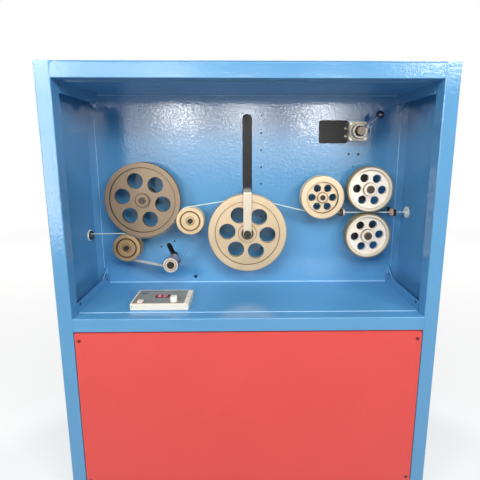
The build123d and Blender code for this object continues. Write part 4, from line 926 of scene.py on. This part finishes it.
rounded_bars = bar_rule()
face_low, face_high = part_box("controller_face")
window_low, window_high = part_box("display_window")
film("face_header", Vector((face_low.x + mm(3), face_high.y - mm(9), 0)), Vector((face_low.x + mm(84), face_high.y - mm(3), 0)), face_high.z, 0.25, print_ink)
film("face_label", Vector((face_low.x + mm(10), face_high.y - mm(34), 0)), Vector((face_low.x + mm(34), face_high.y - mm(20), 0)), face_high.z, 0.25, print_ink)
film("display_bezel", Vector((window_low.x - mm(2), window_low.y - mm(2), 0)), Vector((window_high.x + mm(2), window_high.y + mm(2), 0)), face_high.z, 0.8, display_frame)

digit_width, digit_height = mm(10), mm(14)
spots = []
for digit, offset in ((6, 6.5), (0, 26.5)):
    corner = Vector((window_low.x + mm(offset), window_low.y + mm(4), window_high.z))
    spots += lit_segments(digit, corner, digit_width, digit_height)
run_rule(
    "display_digits", rounded_bars, "cabinet", "dark_window", [p for p, _ in spots], [w for _, w in spots],
    Bar_radius=mm(1.0), Bar_length=mm(6.4), Finish=lit_digits,
)

knob_low, knob_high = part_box("speed_knob")
knob_middle = (knob_low + knob_high) / 2
ribs = [Vector((math.cos(math.radians(15 * r)), math.sin(math.radians(15 * r)), 0)) for r in range(24)]
run_rule(
    "knob_ribs", rounded_bars, "speed_knob", "cream_plastic",
    [knob_middle + way * mm(11.1) for way in ribs], [Vector((0, 0, 1)) - way * 0.07 for way in ribs],
    Bar_radius=mm(0.7), Bar_length=mm(14), Finish=knob_plastic,
)
run_rule(
    "knob_pointer", rounded_bars, "speed_knob", "black_plastic",
    [(knob_middle.x, knob_middle.y + mm(5), knob_high.z)], [(0, 1, 0)],
    Bar_radius=mm(0.6), Bar_length=mm(8), Finish=display_frame,
)
dial = [Vector((math.cos(math.radians(a)), math.sin(math.radians(a)), 0)) for a in range(-60, 241, 30)]
run_rule(
    "dial_marks", rounded_bars, "cabinet", "black_plastic",
    [Vector((knob_middle.x, knob_middle.y, face_high.z)) + way * mm(15.5) for way in dial], dial,
    Bar_radius=mm(0.35), Bar_length=mm(3), Finish=print_ink,
)
print("controller: header, label, bezel, 2 digits,", len(ribs), "ribs,", len(dial), "dial marks")

# %% [markdown]
# ## The wire beside the dancer
#
# Two free spans of wire run from the guide pulley up to the dancer wheel and down to the guide wheel. When the
# dancer rises, one end of each span goes with it. Here a tube of the same size takes the solid's place, cut into
# short rings, and the solid is hidden. The tube is tied neither to the cabinet nor to the dancer's carriage, so it
# doesn't bend. Its ends are read from the solid.


# %% Two spans beside the dancer
def span_ends(node):
    """The middle of the left and of the right end of a straight solid, and its radius."""
    corners = [vertex.co for vertex in nodes[node].data.vertices]
    low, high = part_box(node)
    rises = sum(c.z for c in corners if c.x > (low.x + high.x) / 2) > sum(
        c.z for c in corners if c.x < (low.x + high.x) / 2
    )
    radius = (high.y - low.y) / 2
    run = Vector((high.x - low.x, 0, (high.z - low.z) * (1 if rises else -1)))
    for _ in range(3):
        along = run.normalized()
        ends = []
        for way in (-along, along):
            reach = max(c.dot(way) for c in corners)
            cap = [c for c in corners if c.dot(way) > reach - mm(0.2)]
            ends.append(sum(cap, Vector()) / len(cap))
        run = ends[1] - ends[0]
    return ends[0], ends[1], radius


def wire_span(name, node):
    """A tube from end to end of the node, with rings every few millimetres.

    The tube takes the place of the solid, which is hidden; it rides on no body.
    """
    left, right, radius = span_ends(node)
    rings, sides = 40, 12
    along = (right - left).normalized()
    up = along.cross(Vector((0, 1, 0))).normalized()
    tube = bmesh.new()
    loops = []
    for ring in range(rings + 1):
        middle = left.lerp(right, ring / rings)
        turns = [2 * math.pi * side / sides for side in range(sides)]
        offsets = [Vector((0, radius * math.cos(t), 0)) + up * radius * math.sin(t) for t in turns]
        loops.append([tube.verts.new(middle + offset) for offset in offsets])
    for first, second in zip(loops, loops[1:]):
        for side in range(sides):
            after = (side + 1) % sides
            tube.faces.new((first[side], first[after], second[after], second[side]))
    for loop in (loops[0], loops[-1]):
        tube.faces.new(loop)
    bmesh.ops.recalc_face_normals(tube, faces=tube.faces)
    mesh = bpy.data.meshes.new(name)
    tube.to_mesh(mesh)
    tube.free()
    mesh.polygons.foreach_set("use_smooth", [len(p.vertices) == 4 for p in mesh.polygons])
    mesh.materials.append(wire_sheath)
    piece = bpy.data.objects.new(name, mesh)
    scene.collection.objects.link(piece)
    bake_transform(piece)
    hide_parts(node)
    return (right - left).length


for span, on_fixed, on_moving in (("rising", 0, 60), ("falling", 20, 50)):
    node = "wire_" + span + "_span"
    length = wire_span("bending_wire_" + span, node)
    print(span, "span:", round(length * 1000), "mm")

# %% [markdown]
# ## Camera
#
# The camera stands where the photograph was taken: a little over a metre in front of the bay and a little above
# its middle, looking down by ten degrees. The photograph is not centred on the lens axis, so the lens is shifted
# by a few percent, and nothing is out of focus.

# %% Camera
lens = bpy.data.cameras.new("lens")
lens.sensor_width = 36
lens.lens = 26.78
lens.shift_x = -0.0206
lens.shift_y = -0.059
camera = bpy.data.objects.new("camera", lens)
camera.location = (mm(-13.9), mm(-1370.3), mm(1221.1))
camera.rotation_euler = (math.radians(90 - 9.77), 0, math.radians(-0.84))
scene.collection.objects.link(camera)
scene.camera = camera
print("camera at", [round(value, 3) for value in camera.location])

# %% [markdown]
# ## Floor, sky and lamps
#
# A plain pale floor takes the shadow. To the camera and in reflections it is mixed with white, so it stays pale
# without throwing more light up at the machine. The sky gives an even light, and shows as white to the camera and
# in reflections. A wide lamp hangs over the floor in front, as hall lighting does, and the bay's own top keeps the
# upper part of the back panel in half shade from it. Two lower lamps, left and right, throw the soft shadows that
# lie below the wire, and two behind it light the back. A long low lamp behind the camera stands for the hall's windows, and three small ones for its
# tube lamps. They are there to be mirrored by the glossy back panel, as a pale field with brighter patches, and
# give no diffuse light. So does one at the left, which the left post mirrors.


# %% Studio
def looked_at(tree):
    """1 for a ray from the camera, a mirror or glass, and 0 for light that is gathered."""
    ray = add_node(tree, "ShaderNodeLightPath").outputs
    seen = ray["Is Camera Ray"]
    for other in ("Is Glossy Ray", "Is Transmission Ray"):
        seen = add_node(tree, "ShaderNodeMath", links={0: seen, 1: ray[other]}, operation="MAXIMUM").outputs[0]
    return seen


def pale_floor():
    floor_finish, tree, shader = new_finish("pale studio floor", Roughness=0.9)
    place, seen = own_place(tree), looked_at(tree)
    grey = blend_of(tree, grain(tree, place, 700, 2), "#A2A2A1", "#A8A8A7")
    colour = add_node(tree, "ShaderNodeMix", {7: linear("#EDEDEB")}, {0: seen, 6: grey}, data_type="RGBA").outputs[2]
    wear(shader, tree, colour)
    white = add_node(tree, "ShaderNodeEmission", {"Color": linear("#FFFFFF"), "Strength": 1.0})
    away = add_node(tree, "ShaderNodeVectorMath", links={0: place}, operation="LENGTH").outputs["Value"]
    fade = between(tree, away, 0.35, 1.0, 1.2, 5.5)
    share = add_node(tree, "ShaderNodeMath", links={0: seen, 1: fade}, operation="MULTIPLY").outputs[0]
    mix = add_node(tree, "ShaderNodeMixShader", links={0: share, 1: shader.outputs["BSDF"], 2: white.outputs[0]})
    output = next(node for node in tree.nodes if node.type == "OUTPUT_MATERIAL")
    tree.links.new(mix.outputs[0], output.inputs["Surface"])
    mesh = bpy.data.meshes.new("studio_floor")
    reach = 14.0
    mesh.from_pydata([(-reach, -reach, 0), (reach, -reach, 0), (reach, reach, 0), (-reach, reach, 0)], [], [(0, 1, 2, 3)])
    mesh.materials.append(floor_finish)
    floor = bpy.data.objects.new("studio_floor", mesh)
    scene.collection.objects.link(floor)


def sky(light_level):
    """An even light of light_level, and plain white where a camera, mirror or window looks at it."""
    world = bpy.data.worlds.new("studio sky")
    world.use_nodes = True
    scene.world = world
    tree = world.node_tree
    tree.nodes.clear()
    even = add_node(tree, "ShaderNodeBackground", {"Color": linear("#FFFFFF"), "Strength": light_level})
    white = add_node(tree, "ShaderNodeBackground", {"Color": linear("#FFFFFF"), "Strength": 1.0})
    mix = add_node(
        tree, "ShaderNodeMixShader", links={0: looked_at(tree), 1: even.outputs[0], 2: white.outputs[0]}
    )
    add_node(tree, "ShaderNodeOutputWorld", links={"Surface": mix.outputs[0]})


def soft_lamp(name, width, height, watts, place, target, mirrored_only=False):
    lamp = bpy.data.lights.new(name, "AREA")
    lamp.shape = "RECTANGLE"
    lamp.size, lamp.size_y = width, height
    lamp.energy = watts
    holder = bpy.data.objects.new(name, lamp)
    holder.location = place
    holder.rotation_euler = (Vector(target) - Vector(place)).to_track_quat("-Z", "Y").to_euler()
    holder.visible_camera = False
    holder.visible_diffuse = not mirrored_only
    scene.collection.objects.link(holder)


pale_floor()
sky(0.09)
soft_lamp("right_high_lamp", 1.0, 0.7, 50, (2.1, -2.8, 2.4), (0, 0, 1.05))
soft_lamp("left_high_lamp", 1.0, 0.7, 45, (-2.3, -2.6, 2.4), (0, 0, 1.05))
soft_lamp("hall_ceiling", 2.6, 1.6, 92, (0, -2.9, 3.3), (0, 0, 1.05))
for side in (-1, 1):
    soft_lamp("left_rear_lamp" if side < 0 else "right_rear_lamp", 1.6, 1.6, 120, (3.2 * side, 3.4, 2.8), (0, 0, 0.7))
soft_lamp("hall_window", 3.57, 0.91, 54, (-0.035, -4.0, 1.445), (-0.035, 0, 1.445), mirrored_only=True)
for number, place_x, watts in ((1, -0.92, 14), (2, -0.02, 12), (3, 1.06, 18)):
    soft_lamp(f"hall_lamp_{number}", 0.42, 0.3, watts, (place_x, -3.95, 1.73), (place_x, 0, 1.73), mirrored_only=True)
soft_lamp("left_window", 0.6, 2.2, 40, (-2.62, -4.0, 1.15), (-0.6, -0.3, 1.15), mirrored_only=True)
soft_lamp("compartment_light", 0.9, 0.2, 0.14, (0, 0.16, 1.4), (0, 0.16, 0.7))
soft_lamp("top_window", 2.0, 0.4, 18, (-1.6, -4.0, 2.27), (-1.6, 0, 2.27), mirrored_only=True)
scene.view_settings.view_transform = "Standard"
print("studio ready")
